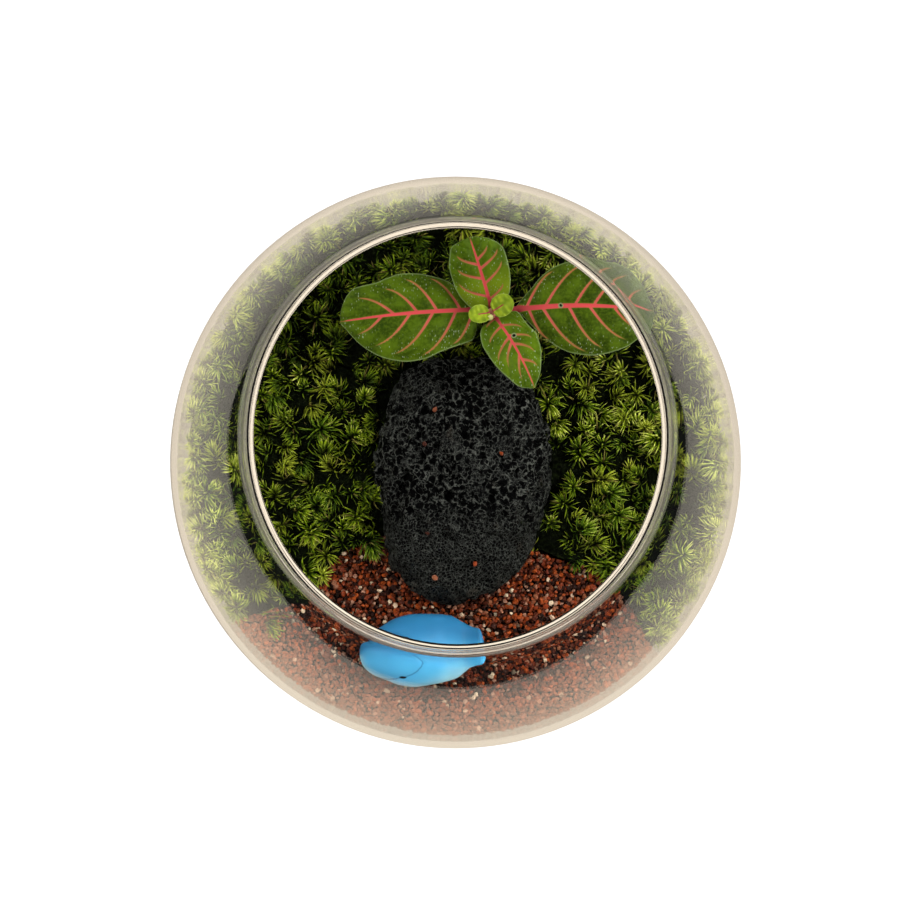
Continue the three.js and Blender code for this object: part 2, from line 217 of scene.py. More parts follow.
def smooth(piece, angle=None):
    """Shades a piece smoothly, or only over edges flatter than an angle in degrees."""
    choose(piece)
    if angle is None:
        bpy.ops.object.shade_smooth()
    else:
        bpy.ops.object.shade_smooth_by_angle(angle=math.radians(angle))


def made(name, points, faces, smoothly=True, **values):
    """A piece from corner points in millimetres and faces of equal size, with point values."""
    mesh = bpy.data.meshes.new(name)
    faces = np.asarray(faces, np.int32)
    count, size = faces.shape
    mesh.vertices.add(len(points))
    mesh.vertices.foreach_set("co", in_metres(points))
    mesh.loops.add(count * size)
    mesh.loops.foreach_set("vertex_index", faces.ravel())
    mesh.polygons.add(count)
    mesh.polygons.foreach_set("loop_start", np.arange(0, count * size, size, dtype=np.int32))
    mesh.polygons.foreach_set("use_smooth", np.full(count, smoothly))
    mesh.update(calc_edges=True)
    for key, numbers in values.items():
        mark(mesh, key, numbers)
    return added(name, mesh)


def mark(mesh, key, numbers):
    """Keeps one number at each corner of a mesh, for its finish to read."""
    layer = mesh.attributes.new(key, "FLOAT", "POINT")
    layer.data.foreach_set("value", np.asarray(numbers, np.float32).ravel())


def solid_copy(name, ending):
    """A loose and visible copy of a node's solid, which is then made into a piece."""
    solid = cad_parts[name]
    piece = solid.copy()
    piece.data = solid.data.copy()
    piece.name = piece.data.name = name + ending
    bpy.context.scene.collection.objects.link(piece)
    piece.hide_viewport = piece.hide_render = False
    piece.hide_set(False)
    return piece


def joined(pieces):
    """Several loose sets of (points, faces, values) as one."""
    start, points, faces, values = 0, [], [], {}
    for p, f, v in pieces:
        points.append(p)
        faces.append(f + start)
        start += len(p)
        for key, numbers in v.items():
            values.setdefault(key, []).append(numbers)
    return np.vstack(points), np.vstack(faces), {k: np.concatenate(v) for k, v in values.items()}


class Pattern:
    """A small shape that is modelled once and then repeated."""

    def __init__(self, points, faces, **values):
        self.points, self.faces, self.values = np.asarray(points, float), np.asarray(faces), values

    @classmethod
    def of(cls, piece):
        """Takes the shape of a modelled piece, which has faces of equal size."""
        faces = np.array([list(face.vertices) for face in piece.data.polygons])
        pattern = cls(corners(piece), faces)
        bpy.data.meshes.remove(piece.data)
        return pattern

    def repeated(self, turns, places, **values):
        """Copies turned by matrices and set at places. Each value is one number per copy."""
        count, size = len(places), len(self.points)
        points = np.einsum("kij,nj->kni", turns, self.points) + np.asarray(places)[:, None, :]
        faces = self.faces[None] + (np.arange(count) * size)[:, None, None]
        all_values = {key: np.tile(v, count) for key, v in self.values.items()}
        all_values.update({key: np.repeat(v, size) for key, v in values.items()})
        return points.reshape(-1, 3), faces.reshape(-1, self.faces.shape[1]), all_values


def turns_of(azimuth, tilt, roll, size):
    """Matrices that roll about Z, tip over towards +X and swing round to an azimuth, in radians."""
    azimuth, tilt, roll, size = np.broadcast_arrays(*np.atleast_1d(azimuth, tilt, roll, size))
    zero, one = np.zeros(azimuth.shape), np.ones(azimuth.shape)

    def about_z(a):
        return np.stack([np.cos(a), -np.sin(a), zero, np.sin(a), np.cos(a), zero,
                         zero, zero, one], -1).reshape(-1, 3, 3)

    def about_y(a):
        return np.stack([np.cos(a), zero, np.sin(a), zero, one, zero,
                         -np.sin(a), zero, np.cos(a)], -1).reshape(-1, 3, 3)

    return about_z(azimuth) @ about_y(tilt) @ about_z(roll) * size[:, None, None]


# ---------------------------------------------------------------- finishes

def paint(code):
    """A colour written as six hex digits, as shaders use it."""
    parts = [int(code[i:i + 2], 16) / 255 for i in (0, 2, 4)]
    return tuple(p / 12.92 if p <= 0.04045 else ((p + 0.055) / 1.055) ** 2.4
                 for p in parts) + (1.0,)


class Wire:
    """A node's output, so that shader sums are written like sums of numbers."""

    def __init__(self, finish, socket):
        self.finish, self.socket = finish, socket

    def _math(self, operation, *terms):
        return self.finish.node("ShaderNodeMath", dict(enumerate(terms)), operation=operation)

    def __add__(self, other): return self._math("ADD", self, other)
    def __radd__(self, other): return self._math("ADD", other, self)
    def __sub__(self, other): return self._math("SUBTRACT", self, other)
    def __rsub__(self, other): return self._math("SUBTRACT", other, self)
    def __mul__(self, other): return self._math("MULTIPLY", self, other)
    def __rmul__(self, other): return self._math("MULTIPLY", other, self)
    def __abs__(self): return self._math("ABSOLUTE", self)

    def most(self, other): return self._math("MAXIMUM", self, other)
    def least(self, other): return self._math("MINIMUM", self, other)
    def rounded(self): return self._math("ROUND", self)

    def ease(self, low, high, start=0.0, end=1.0):
        """start below low, end above high and a smooth step between them."""
        return self.finish.node("ShaderNodeMapRange", {
            "Value": self, "From Min": low, "From Max": high, "To Min": start, "To Max": end},
            interpolation_type="SMOOTHSTEP")


class Finish:
    """A material, with its Principled shader and the ways to feed it."""

    def __init__(self, name, **sockets):
        self.material = bpy.data.materials.new(name)
        self.take(self.material)
        self.shader = self.tree.nodes.new("ShaderNodeBsdfPrincipled")
        self.output = self.tree.nodes.new("ShaderNodeOutputMaterial")
        self.tree.links.new(self.shader.outputs[0], self.output.inputs[0])
        self.set(**sockets)

    @classmethod
    def of_world(cls, world):
        """The same tools for the light of the surroundings, which has no Principled shader."""
        finish = cls.__new__(cls)
        finish.take(world)
        return finish

    def take(self, owner):
        owner.use_nodes = True
        self.tree = owner.node_tree
        self.tree.nodes.clear()

    def feed(self, node, inputs):
        """Joins wires to a node's inputs, or sets them to numbers or to colours, also as codes."""
        for key, value in inputs.items():
            if isinstance(value, Wire):
                self.tree.links.new(value.socket, node.inputs[key])
            else:
                node.inputs[key].default_value = paint(value) if isinstance(value, str) else value

    def node(self, kind, inputs=None, out=0, stops=None, **settings):
        """A new node with its settings and inputs, as a wire from one of its outputs."""
        node = self.tree.nodes.new(kind)
        for key, value in settings.items():
            setattr(node, key, value)
        if stops:
            band = node.color_ramp
            while len(band.elements) < len(stops):
                band.elements.new(0.5)
            for element, (place, colour) in zip(band.elements, stops):
                element.position, element.color = place, colour
        self.feed(node, inputs or {})
        return Wire(self, node.outputs[out])

    def set(self, **sockets):
        """Sets sockets of the Principled shader, named with _ for each space."""
        self.feed(self.shader, {key.replace("_", " "): v for key, v in sockets.items()})
        return self

    def ray(self, kind):
        return self.node("ShaderNodeLightPath", out=kind)

    def place(self):
        return self.node("ShaderNodeTexCoord", out="Object")

    def split(self, vector):
        """The x, y and z of a vector."""
        parts = self.node("ShaderNodeSeparateXYZ", {0: vector}).socket.node.outputs
        return [Wire(self, socket) for socket in parts]

    def scaled(self, vector, factors):
        return self.node("ShaderNodeVectorMath", {0: vector, 1: factors}, operation="MULTIPLY")

    def off_axis(self):
        """How far a place is from the bowl's upright axis, in metres."""
        flat = self.scaled(self.place(), (1.0, 1.0, 0.0))
        return self.node("ShaderNodeVectorMath", {0: flat}, out="Value", operation="LENGTH")

    def value(self, key):
        """A number kept at each corner of the piece."""
        return self.node("ShaderNodeAttribute", out="Fac", attribute_name=key)

    def noise(self, scale, detail=2.0, roughness=0.5, out=0):
        return self.node("ShaderNodeTexNoise", {
            "Vector": self.place(), "Scale": scale, "Detail": detail,
            "Roughness": roughness}, out=out)

    def cells(self, scale, place=None, feature="F1"):
        return self.node("ShaderNodeTexVoronoi", {"Vector": place or self.place(), "Scale": scale},
                         feature=feature)

    def blend(self, share, a, b):
        """A colour between two others."""
        return self.node("ShaderNodeMix", {0: share, 6: a, 7: b}, out=2, data_type="RGBA")

    def between(self, share, a, b):
        """A number between two others."""
        return self.node("ShaderNodeMix", {0: share, 2: a, 3: b}, data_type="FLOAT")

    def over(self, colour, *coats):
        """A colour with others laid over it, each by its own share."""
        for share, coat in coats:
            colour = self.blend(share, colour, coat)
        return colour

    def band(self, share, *stops):
        """A colour read from a ramp of (place, colour) stops."""
        return self.node("ShaderNodeValToRGB", {0: share},
                         stops=[(place, paint(code)) for place, code in stops])

    def bump(self, height, distance):
        """A normal as if the surface rose with the height, by up to a distance in millimetres."""
        return self.node("ShaderNodeBump", {"Height": height, "Distance": distance * MM})

    def on(self, piece):
        piece.data.materials.clear()
        piece.data.materials.append(self.material)


def dressed(piece, finish, slot, *nodes):
    """Gives a piece its finish, and its place on the body instead of the nodes' solids."""
    finish.on(piece)
    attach(piece, "root")
    if nodes:
        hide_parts(*nodes)


# ---------------------------------------------------------------- camera, floor and light

def look(thing, way):
    """Turns a camera or a lamp to face along a direction."""
    thing.rotation_euler = way.to_track_quat("-Z", "Y").to_euler()


def set_camera():
    distance, height_angle = 450 * MM, math.radians(83.6)
    out = Vector((0, -math.cos(height_angle), math.sin(height_angle)))
    data = bpy.data.cameras.new("camera")
    camera = added("camera", data)
    camera.location = Vector(GLOBE_MIDDLE * MM) + distance * out
    look(camera, -out)
    data.sensor_width, data.lens = 36.0, 67.56
    data.shift_x, data.shift_y = -0.0061, 0.0144
    data.clip_start = 0.01
    bpy.context.scene.camera = camera


def set_floor():
    """A pale table top. It looks white itself and lights the bowl with a cream glow, which has a
    painted contact shadow near the bowl.
    """
    deselect()
    bpy.ops.mesh.primitive_plane_add(size=1, location=(0, 0.05, 0))
    bpy.context.object.scale = (1.34, 1.1, 1)
    floor = started("floor")
    finish = Finish("pale_table", Base_Color=(0.02, 0.02, 0.02, 1), Roughness=1.0,
                    Specular_IOR_Level=0.0, Emission_Strength=1.0)
    away = finish.off_axis()
    y = finish.split(finish.place())[1]
    # Near the bowl its glow is dimmer, and dimmest behind it: a painted contact shadow.
    painted_contact_shadow = y.ease(-0.1, 0.1, 0.66, 0.44)
    glow = away.ease(0.1, 0.2, painted_contact_shadow, 1.0) * y.ease(0.12, 0.5, 1.0, 0.75)
    # The lip, which mirrors the table more than once, shows it fully lit.
    glow = glow.most(finish.ray("Glossy Depth").ease(1.0, 2.0) * 1.1)
    cream = finish.blend(away.ease(0.12, 0.3), (1, 0.86, 0.68, 1), (1, 0.925, 0.79, 1))
    lit = finish.node("ShaderNodeVectorMath", {0: cream, "Scale": glow}, operation="SCALE")
    finish.set(Emission_Color=finish.blend(finish.ray("Is Camera Ray"), lit, (1.2, 1.2, 1.2, 1)))
    finish.on(floor)


def set_surroundings():
    """White where it is seen directly or straight through the glass, and dim in reflections."""
    world = bpy.data.worlds.new("studio")
    bpy.context.scene.world = world
    studio = Finish.of_world(world)
    out = studio.tree.nodes.new("ShaderNodeOutputWorld")
    height = studio.split(studio.node("ShaderNodeTexCoord", out="Generated"))[2]
    light = height.ease(-0.05, 0.7, 0.04, 0.2)
    camera, through = studio.ray("Is Camera Ray"), studio.ray("Is Transmission Ray")
    seen = camera.most(through * (1 - studio.ray("Glossy Depth").least(1.0)))
    sky = studio.node("ShaderNodeBackground", {
        "Color": (1, 0.995, 0.98, 1), "Strength": studio.between(seen, light, 1.0)})
    studio.tree.links.new(sky.socket, out.inputs[0])


def set_lamps():
    """Two large lights that the glass doesn't mirror, and beside them small ones that it does."""
    left, right = (-0.72, 0.3, 0.8), (0.75, 0.1, 0.75)
    for name, place, power, size, mirrored in (
            ("softbox_left", left, 11.0, 1.1, False), ("softbox_right", right, 15.2, 1.1, False),
            ("glint_left", left, 2.6, 0.22, True), ("glint_right", right, 3.6, 0.22, True)):
        data = bpy.data.lights.new(name, "AREA")
        data.shape, data.size = "DISK", size
        data.energy = power
        lamp = added(name, data)
        lamp.location = place
        lamp.visible_glossy = lamp.visible_transmission = mirrored
        look(lamp, Vector((0, 0, 0.06)) - lamp.location)


# ---------------------------------------------------------------- the glass globe

# Radius and height along the neck: up its outside and down its inside.
NECK_OUTSIDE = [(51.45, 120.6), (51.15, 121.1), (50.6, 121.9), (50, 122.8), (49.45, 123.8),
                (49, 125)]
NECK_INSIDE = [(47.35, 125.5), (47.75, 124.5), (48.25, 123.3), (48.8, 122.2), (49.35, 121.1)]


def meridian(radius, start, end, steps):
    """Part of the globe's section, between two angles from its lowest point."""
    angles = np.radians(np.linspace(start, end, steps + 1))
    return [(radius * math.sin(a), GLOBE_Z - radius * math.cos(a)) for a in angles]


def bowl_outline():
    """The glass's section, from its middle underneath over the lip to the middle of its floor."""
    half = LIP / 2
    middle = MOUTH_RADIUS + half
    floor_edge = math.sqrt(INSIDE ** 2 - (GLOBE_Z - BASE) ** 2)
    floor_angle = math.degrees(math.asin(floor_edge / INSIDE))
    foot = [(0, PUNT_HEIGHT), (PUNT_RADIUS - 3, PUNT_HEIGHT), (PUNT_RADIUS - 1.2, 0.35),
            (PUNT_RADIUS, 0), (FOOT_RADIUS, 0), (FOOT_RADIUS + 1.6, 0.25)]
    lip = [(middle + half * math.cos(a), RIM_Z - half + half * math.sin(a))
           for a in np.linspace(0, math.pi, 17)]
    floor = [(floor_edge - 0.6, BASE + 0.25), (floor_edge - 3, BASE), (0, BASE)]
    outside = meridian(GLOBE_RADIUS, 29.6, 136.3, 44)
    inside = meridian(INSIDE, 137.2, floor_angle + 1.5, 60)
    return foot + outside + NECK_OUTSIDE + lip + NECK_INSIDE + inside + floor


def out_of_round(points):
    """Moves the neck and the mouth a little, as they are on blown glass."""
    neck, mouth = ramp(points[:, 2], 76, 120), ramp(points[:, 2], 120, 124.5)
    points[:, 0] += 0.5 * neck
    points[:, 1] *= 1 + 0.01 * neck + 0.017 * mouth
    points[:, 1] += 0.8 * neck - 0.65 * mouth
    return points


def glass_finish():
    """Clear glass, which only dims the light that falls through it a little."""
    glass = Finish("clear_glass", Base_Color=(0.985, 0.995, 0.985, 1), Roughness=0.0, IOR=1.5,
                   Transmission_Weight=1.0)
    see_through = glass.node("ShaderNodeBsdfTransparent", {"Color": (0.93, 0.945, 0.93, 1)})
    both = glass.node("ShaderNodeMixShader", {
        0: glass.ray("Is Shadow Ray"), 1: Wire(glass, glass.shader.outputs[0]), 2: see_through})
    glass.tree.links.new(both.socket, glass.output.inputs[0])
    return glass


def make_bowl():
    outline = bowl_outline()
    mesh = bpy.data.meshes.new("bowl_glass")
    mesh.from_pydata([(r * MM, 0, z * MM) for r, z in outline],
                     [(i, i + 1) for i in range(len(outline) - 1)], [])
    bowl = added("bowl_glass", mesh)
    in_edit_mode(bowl, lambda: bpy.ops.mesh.spin(
        steps=144, angle=FULL_TURN, center=(0, 0, 0), axis=(0, 0, 1)), outward)
    move_corners(bowl, out_of_round(corners(bowl)))
    smooth(bowl, 35)
    dressed(bowl, glass_finish(), "clear_glass", "glass_bowl")


# ---------------------------------------------------------------- the ground

def ripple(x, y, pitch):
    """Gentle waves, between -1 and 1."""
    return np.sin(x / pitch + 1) * np.cos(y / (0.8 * pitch))


def ground_z(x, y):
    return 50.5 + 0.06 * y + 0.6 * ripple(x, y, 17)


def gravel_z(x, y):
    """The top of the gravel, which is banked up along the glass."""
    banked = 7 * ramp(np.hypot(x, y), 61, 73)
    return ground_z(x, y) + GRAVEL_DEPTH + 0.6 * ripple(x, y, 3) + banked


def gravel_outline():
    """The area with gravel, which reaches past the glass at the front."""
    far = GLOBE_RADIUS + 10
    return np.vstack([spline(GRAVEL_EDGE, 66), [(far, -far), (-far, -far)]])


def room(z):
    """The inner radius of the glass at a height, less a small clearance."""
    clear = 0.15
    return np.sqrt(np.maximum((INSIDE - clear) ** 2 - (GLOBE_Z - np.asarray(z)) ** 2, 1.0))


def against_glass(points):
    """Presses points that would pass through the globe's wall back against its inside."""
    limit = INSIDE - 0.12
    away = points - GLOBE_MIDDLE
    far = np.linalg.norm(away, axis=1)
    over = far > limit
    out = points.copy()
    out[over] = (away * (limit / far)[:, None] + GLOBE_MIDDLE)[over]
    return out


def scattered(spacing, reach=INSIDE):
    """Points over a disc, none nearer to another than the spacing, in a fixed order."""
    tries = 30
    cell = spacing / math.sqrt(2)
    side = int(2 * reach / cell) + 2
    grid = -np.ones((side, side), int)
    points, active = [np.zeros(2)], [0]
    own = np.random.default_rng(int(spacing * 100))

    def slot(p):
        return int((p[0] + reach) / cell), int((p[1] + reach) / cell)

    grid[slot(points[0])] = 0
    while active:
        k = active[int(own.integers(len(active)))]
        for _ in range(tries):
            turn, far = own.uniform(0, FULL_TURN), own.uniform(1, 1.6) * spacing
            p = points[k] + far * np.array([math.cos(turn), math.sin(turn)])
            if p @ p > reach * reach:
                continue
            i, j = slot(p)
            near = grid[max(i - 2, 0):i + 3, max(j - 2, 0):j + 3]
            near = near[near >= 0]
            if all((points[n] - p) @ (points[n] - p) >= spacing * spacing for n in near):
                grid[i, j] = len(points)
                active.append(len(points))
                points.append(p)
                break
        else:
            active.remove(k)
    return np.array(points)


def packed(spacing, reach=INSIDE):
    """Points over a disc in offset rows, each moved a little at random."""
    own = np.random.default_rng(int(spacing * 1000))
    step = spacing * 0.93
    x, y = np.meshgrid(np.arange(-reach, reach, spacing), np.arange(-reach, reach, step))
    x = x + spacing / 2 * (np.arange(len(x)) % 2)[:, None]
    points = np.stack([x.ravel(), y.ravel()], 1)
    points = points + own.uniform(-0.3, 0.3, (x.size, 2)) * spacing
    return points[(points ** 2).sum(1) < reach * reach]


# ---------------------------------------------------------------- the lava rock

# Where the rock is cut off under the ground.
ROCK_BURIED = 48.5
# For each size of pit: the size of its cells, a seed, its chance, its depth and how much of the
# depth is missing at the front.
PITS = [(2.9, 11, 0.5, 1.5, 1), (1.9, 5, 0.75, 1.05, 0.6), (1.25, 3, 0.9, 0.65, 0)]
# Large numbers that turn a cell's place into a key, and the key into four fractions.
CELL_KEYS = (73856093, 19349663, 83492791)
KEY_DRAWS = [(1, 0, 2654435761), (40503, 12345, 2246822519), (69069, 777, 3266489917),
             (1103515245, 99, 668265263)]
KEY_RANGE = 2 ** 32


def rock_hollow(x, y, z):
    """How far the rock's skin is dented at a place, in millimetres."""
    waves = np.abs(np.sin(x / 1.9 + np.sin(y / 3)) * np.sin(y / 1.9 + 1 + np.sin(z / 3)))
    return ramp(waves, 0.25, 0.9)


def rock_skin(directions, grow=0.0):
    """Where the rock's skin is in the given directions from its middle."""
    dx, dy, dz = directions.T
    power = ROCK["boxiness"]
    reach = (np.abs(directions) ** power).sum(1) ** (-1 / power)
    bx, by, bz = dx * reach, dy * reach, dz * reach
    front = ramp(-by, -0.1, 1)
    skin = 1 + ROCK["rough"] * (np.sin(7 * dx + 2) * np.cos(6 * dy - 1)
                                + 0.8 * np.sin(9 * dy + 4 * dz) * np.cos(8 * dx + 3 * dz))
    top = np.where(bz > 0, 1 - ROCK["low"] * front, 1)
    cx, cy, cz = ROCK["centre"]
    hx, hy, hz = (h + grow for h in ROCK["half"])
    points = np.stack([cx + hx * bx * (1 - ROCK["narrow"] * front) * skin
                       + ROCK["lean"] * front ** 2,
                       cy + hy * by * skin, cz + hz * bz * top * skin], 1)
    return points - rock_hollow(*points.T)[:, None] * directions


def rock_outline(grow):
    """The rock's outline where it comes out of the ground."""
    turn = np.radians(np.arange(0, 360, 5))
    return rock_skin(np.stack([*around(1, turn), 0 * turn], 1), grow)[:, :2]


def pits(points, size, seed, chance):
    """How deep each point lies in round pits: 1 in the middle of a pit and 0 outside them."""
    cell = np.floor(points / size).astype(int)
    deepest = np.zeros(len(points))
    for shift in np.ndindex(3, 3, 3):
        near = cell + np.array(shift) - 1
        key = np.bitwise_xor.reduce(near * CELL_KEYS, axis=1) ^ seed
        a, b, c, d = ((key * p + q) * r % KEY_RANGE / KEY_RANGE for p, q, r in KEY_DRAWS)
        middle = (near + 0.2 + 0.6 * np.stack([a, b, c], 1)) * size
        radius = size * mix(0.22, 0.46, d)
        far = np.linalg.norm(points - middle, axis=1) / radius
        deepest = np.maximum(deepest, np.where(b < chance, 1 - ramp(far, 0.7, 1.0), 0))
    return deepest


def pit_depth(sheet):
    """How deep the pits are at points of the rock's skin, in millimetres."""
    front = ramp(-sheet[:, 1], 4, 22)
    warped = sheet + 0.5 * np.sin(sheet[:, [1, 2, 0]] / 1.7)
    return np.maximum.reduce([deep * (pits(warped, size, seed, chance) * (1 - missing * front))
                              for size, seed, chance, deep, missing in PITS])


def make_rock():
    deselect()
    bpy.ops.mesh.primitive_ico_sphere_add(subdivisions=7, radius=1)
    rock = started("rock")
    move_corners(rock, rock_skin(unit(corners(rock))))
    in_edit_mode(rock, cut(ROCK_BURIED * MM, use_fill=True, clear_inner=True),
                 select_whole, bpy.ops.mesh.quads_convert_to_tris)
    sheet = corners(rock)
    normals = np.empty(len(sheet) * 3, np.float32)
    rock.data.vertices.foreach_get("normal", normals)
    depth = pit_depth(sheet)
    x, y, z = sheet.T
    lumps = 0.4 * np.sin(x / 2.3 + 2 * np.sin(y / 3.1)) * np.sin(y / 2.6 + z / 2)
    held = ramp(z, ROCK_BURIED + 0.5, ROCK_BURIED + 2)
    move_corners(rock, sheet + normals.reshape(-1, 3) * ((lumps - depth) * held)[:, None])
    mark(rock.data, "pit", np.clip(depth / 0.9, 0, 1))
    smooth(rock)
    dressed(rock, lava_finish(), "black_lava", "lava_rock")


def lava_finish():
    lava = Finish("porous_lava", Roughness=0.6, Specular_IOR_Level=0.06)
    place = lava.place()
    front = lava.split(place)[1].ease(-0.006, -0.024)
    bent = lava.node("ShaderNodeVectorMath", {
        0: lava.noise(420, out=1), 1: (0.0016, 0.0016, 0.0016), 2: place},
        operation="MULTIPLY_ADD")

    def pores(scale):
        """Round holes, and the thin walls between them."""
        edge = lava.cells(scale, place=bent, feature="DISTANCE_TO_EDGE")
        hole = edge.ease(0.05, 0.1) * lava.cells(scale, place=bent).ease(0.52, 0.44)
        return hole, edge.ease(0.09, 0.03)

    coarse, coarse_wall = pores(430)
    middle, middle_wall = pores(720)
    tiny, tiny_wall = pores(1250)
    coarse_here = lava.noise(130).ease(0.46, 0.52) * (1 - front)
    middle_here = lava.noise(190).ease(0.38, 0.46) * (1 - 0.7 * front)
    holes = (coarse * coarse_here).most(middle * middle_here).most(tiny * (0.45 + 0.55 * front))
    wall = (coarse_wall * coarse_here).most(middle_wall * middle_here * 0.8).most(tiny_wall * 0.5)
    grain = lava.noise(2600, 3.0)
    # Painted light and shade: pores and pits are painted black as painted shade, and the thin walls
    # between pores are painted lighter as a painted highlight; the grain is the rock's own tone.
    deep = holes.ease(0.2, 0.8).most(lava.value("pit").ease(0.3, 1.0) * 0.85)
    pale = (1 - deep) * (0.42 + grain.ease(0.35, 0.75) * 0.35 + wall * 0.42)
    colour = lava.band(pale, (0.0, "000000"), (0.3, "060606"), (0.6, "1a1b19"), (1.0, "474843"))
    dust = lava.noise(150).ease(0.64, 0.75) * (1 - deep) * 0.3
    colour = lava.blend(dust, colour, "332a20")
    height = (1 - holes) * 0.8 + wall * 0.2 + grain * 0.25
    return lava.set(Base_Color=colour, Normal=lava.bump(height, 0.7),
                    Roughness=grain.ease(0.3, 0.7, 0.45, 0.75))


# ---------------------------------------------------------------- moss

def straight_angle(x, y):
    """The angle, in degrees, that a point has once the wavy seams are straightened."""
    angle, radius = np.arctan2(y, x), np.hypot(x, y)
    straight = angle
    for _ in range(6):
        straight = angle - 0.08 * np.sin(radius / 7 + 3 * straight)
    return np.degrees(straight) % 360


def cushion_of(x, y):
    """For each point the number of its cushion, or -1, and its share of the way across it."""
    angle = straight_angle(x, y)
    which, share = np.full(np.shape(x), -1), np.zeros(np.shape(x))
    for k, (start, end) in enumerate(CUSHIONS.values()):
        turned = np.where(angle < start - 180, angle + 360, angle)
        turned = np.where(turned < start, turned + 360, turned) if start > 180 else turned
        inside = (turned >= start) & (turned < end)
        which = np.where(inside, k, which)
        share = np.where(inside, (turned - start) / (end - start), share)
    return which, share


def moss_climb(x, y):
    """How much higher the moss stands where it grows up along the glass."""
    return ramp(np.hypot(x, y), 60, 73) * mix(9, 13, ramp(y, -10, 60))


def moss_z(x, y, share):
    """The top of the moss, which is domed across each cushion."""
    dome = 1 - (2 * share - 1) ** 4
    return ground_z(x, y) + mix(7.0, 10.5, dome) + 0.8 * ripple(x, y, 4.5) + moss_climb(x, y)


class Blade:
    """A straight three-sided blade 1 long, with rings of corners at which it can be bent."""

    def __init__(self):
        deselect()
        bpy.ops.mesh.primitive_cone_add(vertices=3, radius1=0.5, radius2=0, depth=1,
                                        end_fill_type="NGON", location=(0, 0, 0.5))
        piece = started("blade")
        for height in (0.4, 0.72):
            in_edit_mode(piece, cut(height))
        in_edit_mode(piece, bpy.ops.mesh.quads_convert_to_tris)
        x, y, self.share = (corners(piece) * MM).T
        radius = np.maximum(0.5 * (1 - self.share), 1e-4)
        self.across = np.clip(x / radius / math.cos(math.pi / 6), -1, 1)
        self.keel = np.clip((y / radius + 0.5) / 1.5, 0, 1)
        self.faces = Pattern.of(piece).faces

    def bent(self, foot, start, end, side, length, width):
        """The blade's corners when it sets off one way from its foot and curves over another."""
        steps = np.linspace(0, 1, 24)
        way = unit(mix(start, end, steps[:, None] ** 1.2))
        line = foot + length * np.vstack([np.zeros(3), np.cumsum(way[:-1], 0) / 23])
        at, heading = (np.stack([np.interp(self.share, steps, v) for v in field.T], 1)
                       for field in (line, way))
        heading = unit(heading)
        flat = unit(side - (heading @ side)[:, None] * heading)
        half = width / 2 * (1 - self.share) ** 0.9 * (1 + 1.1 * self.share)
        return at + flat * (self.across * half)[:, None] \
            + np.cross(heading, flat) * (self.keel * half * 0.7)[:, None]


def moss_shoot(blade, seed, leaves, tall, leaf_length, sweep):
    """A short stem with narrow curved leaves all round, most of them swept towards +X."""
    own = np.random.default_rng(seed)
    up, over = np.array([0, 0, 1.0]), np.array([1.0, 0, 0])
    stem = blade.bent(0 * up, up, up + 0.3 * over, np.array([0, 1.0, 0]), tall, 0.9)
    number = len(blade.share)
    parts = [(stem, blade.faces, dict(reach=0 * blade.share, low=np.ones(number),
                                      leaf=np.zeros(number)))]
    for n in range(leaves):
        low = n / (leaves - 1)
        turn = 2.4 * n + own.normal(0, 0.25)
        radial = np.array([math.cos(turn), math.sin(turn), 0])
        side = np.array([-math.sin(turn), math.cos(turn), 0])
        rise = math.radians(mix(12, 50, low))
        height = 1 - 0.8 * low
        foot = tall * height * up + 0.15 * tall * height ** 2 * over + 0.2 * radial
        end = mix(0.7, 1.05, low) * radial + sweep * own.uniform(0.5, 1.3) * over \
            + mix(0.55, -0.45, low) * own.uniform(0.6, 1.4) * up
        size = leaf_length * mix(0.6, 1, min(1, 3 * low)) * own.uniform(0.82, 1.15)
        points = blade.bent(foot, math.cos(rise) * up + math.sin(rise) * radial, end, side,
                            size, own.uniform(0.42, 0.6))
        parts.append((points, blade.faces, dict(
            reach=blade.share, low=np.full(number, low), leaf=np.full(number, own.uniform(0, 1)))))
    points, faces, values = joined(parts)
    return Pattern(points, faces, **values)


def strewn_shoots(patterns, feet, turns, **values):
    """Shoots of all the patterns, each picked at random, with their feet at the given places."""
    kind = dice.integers(len(patterns), size=len(feet))
    parts = []
    for k, pattern in enumerate(patterns):
        here = kind == k
        if here.any():
            parts.append(pattern.repeated(turns[here], feet[here], **{
                key: numbers[here] for key, numbers in values.items()}))
    return parts


def growing(points, margin):
    """The points at which moss grows, with each one's cushion and its share of the way across."""
    x, y = points.T
    which, share = cushion_of(x, y)
    within = np.hypot(x, y) < room(moss_z(x, y, share) - 3) - margin
    keep = (which >= 0) & within & ~inside_outline(gravel_outline(), x, y) \
        & ~inside_outline(rock_outline(0.6), x, y)
    return points[keep], which[keep], share[keep]


def tufts(patterns, spots, share, sunk, sizes):
    """Shoots all over a cushion, with their feet sunk below its top."""
    x, y = spots.T
    n = len(spots)
    size = dice.uniform(*sizes, n)
    level = dice.normal(0, 1.0, n) + 0.9 * ripple(x, y, 2.1) * ripple(y, x, 3.3)
    z = moss_z(x, y, share) - sunk * size + level
    turn = turns_of(dice.uniform(0, FULL_TURN, n), np.abs(dice.normal(0, 0.3, n)),
                    dice.normal(0, 0.8, n), size)
    # The level sets each shoot's height and, in its finish, painted light: higher shoots are
    # painted lighter. An added term paints the shoots on the right at the back lighter, and the
    # rest of the back darker, as painted light and shade.
    painted_light_by_area = 1.6 * ramp(x, 14, 26) * ramp(y, 2, 14) - 2.2 * ramp(y, 24, 34) * (x < 20)
    return strewn_shoots(patterns, np.stack([x, y, z], 1), turn,
                         tint=dice.uniform(0, 1, n), level=level + painted_light_by_area)


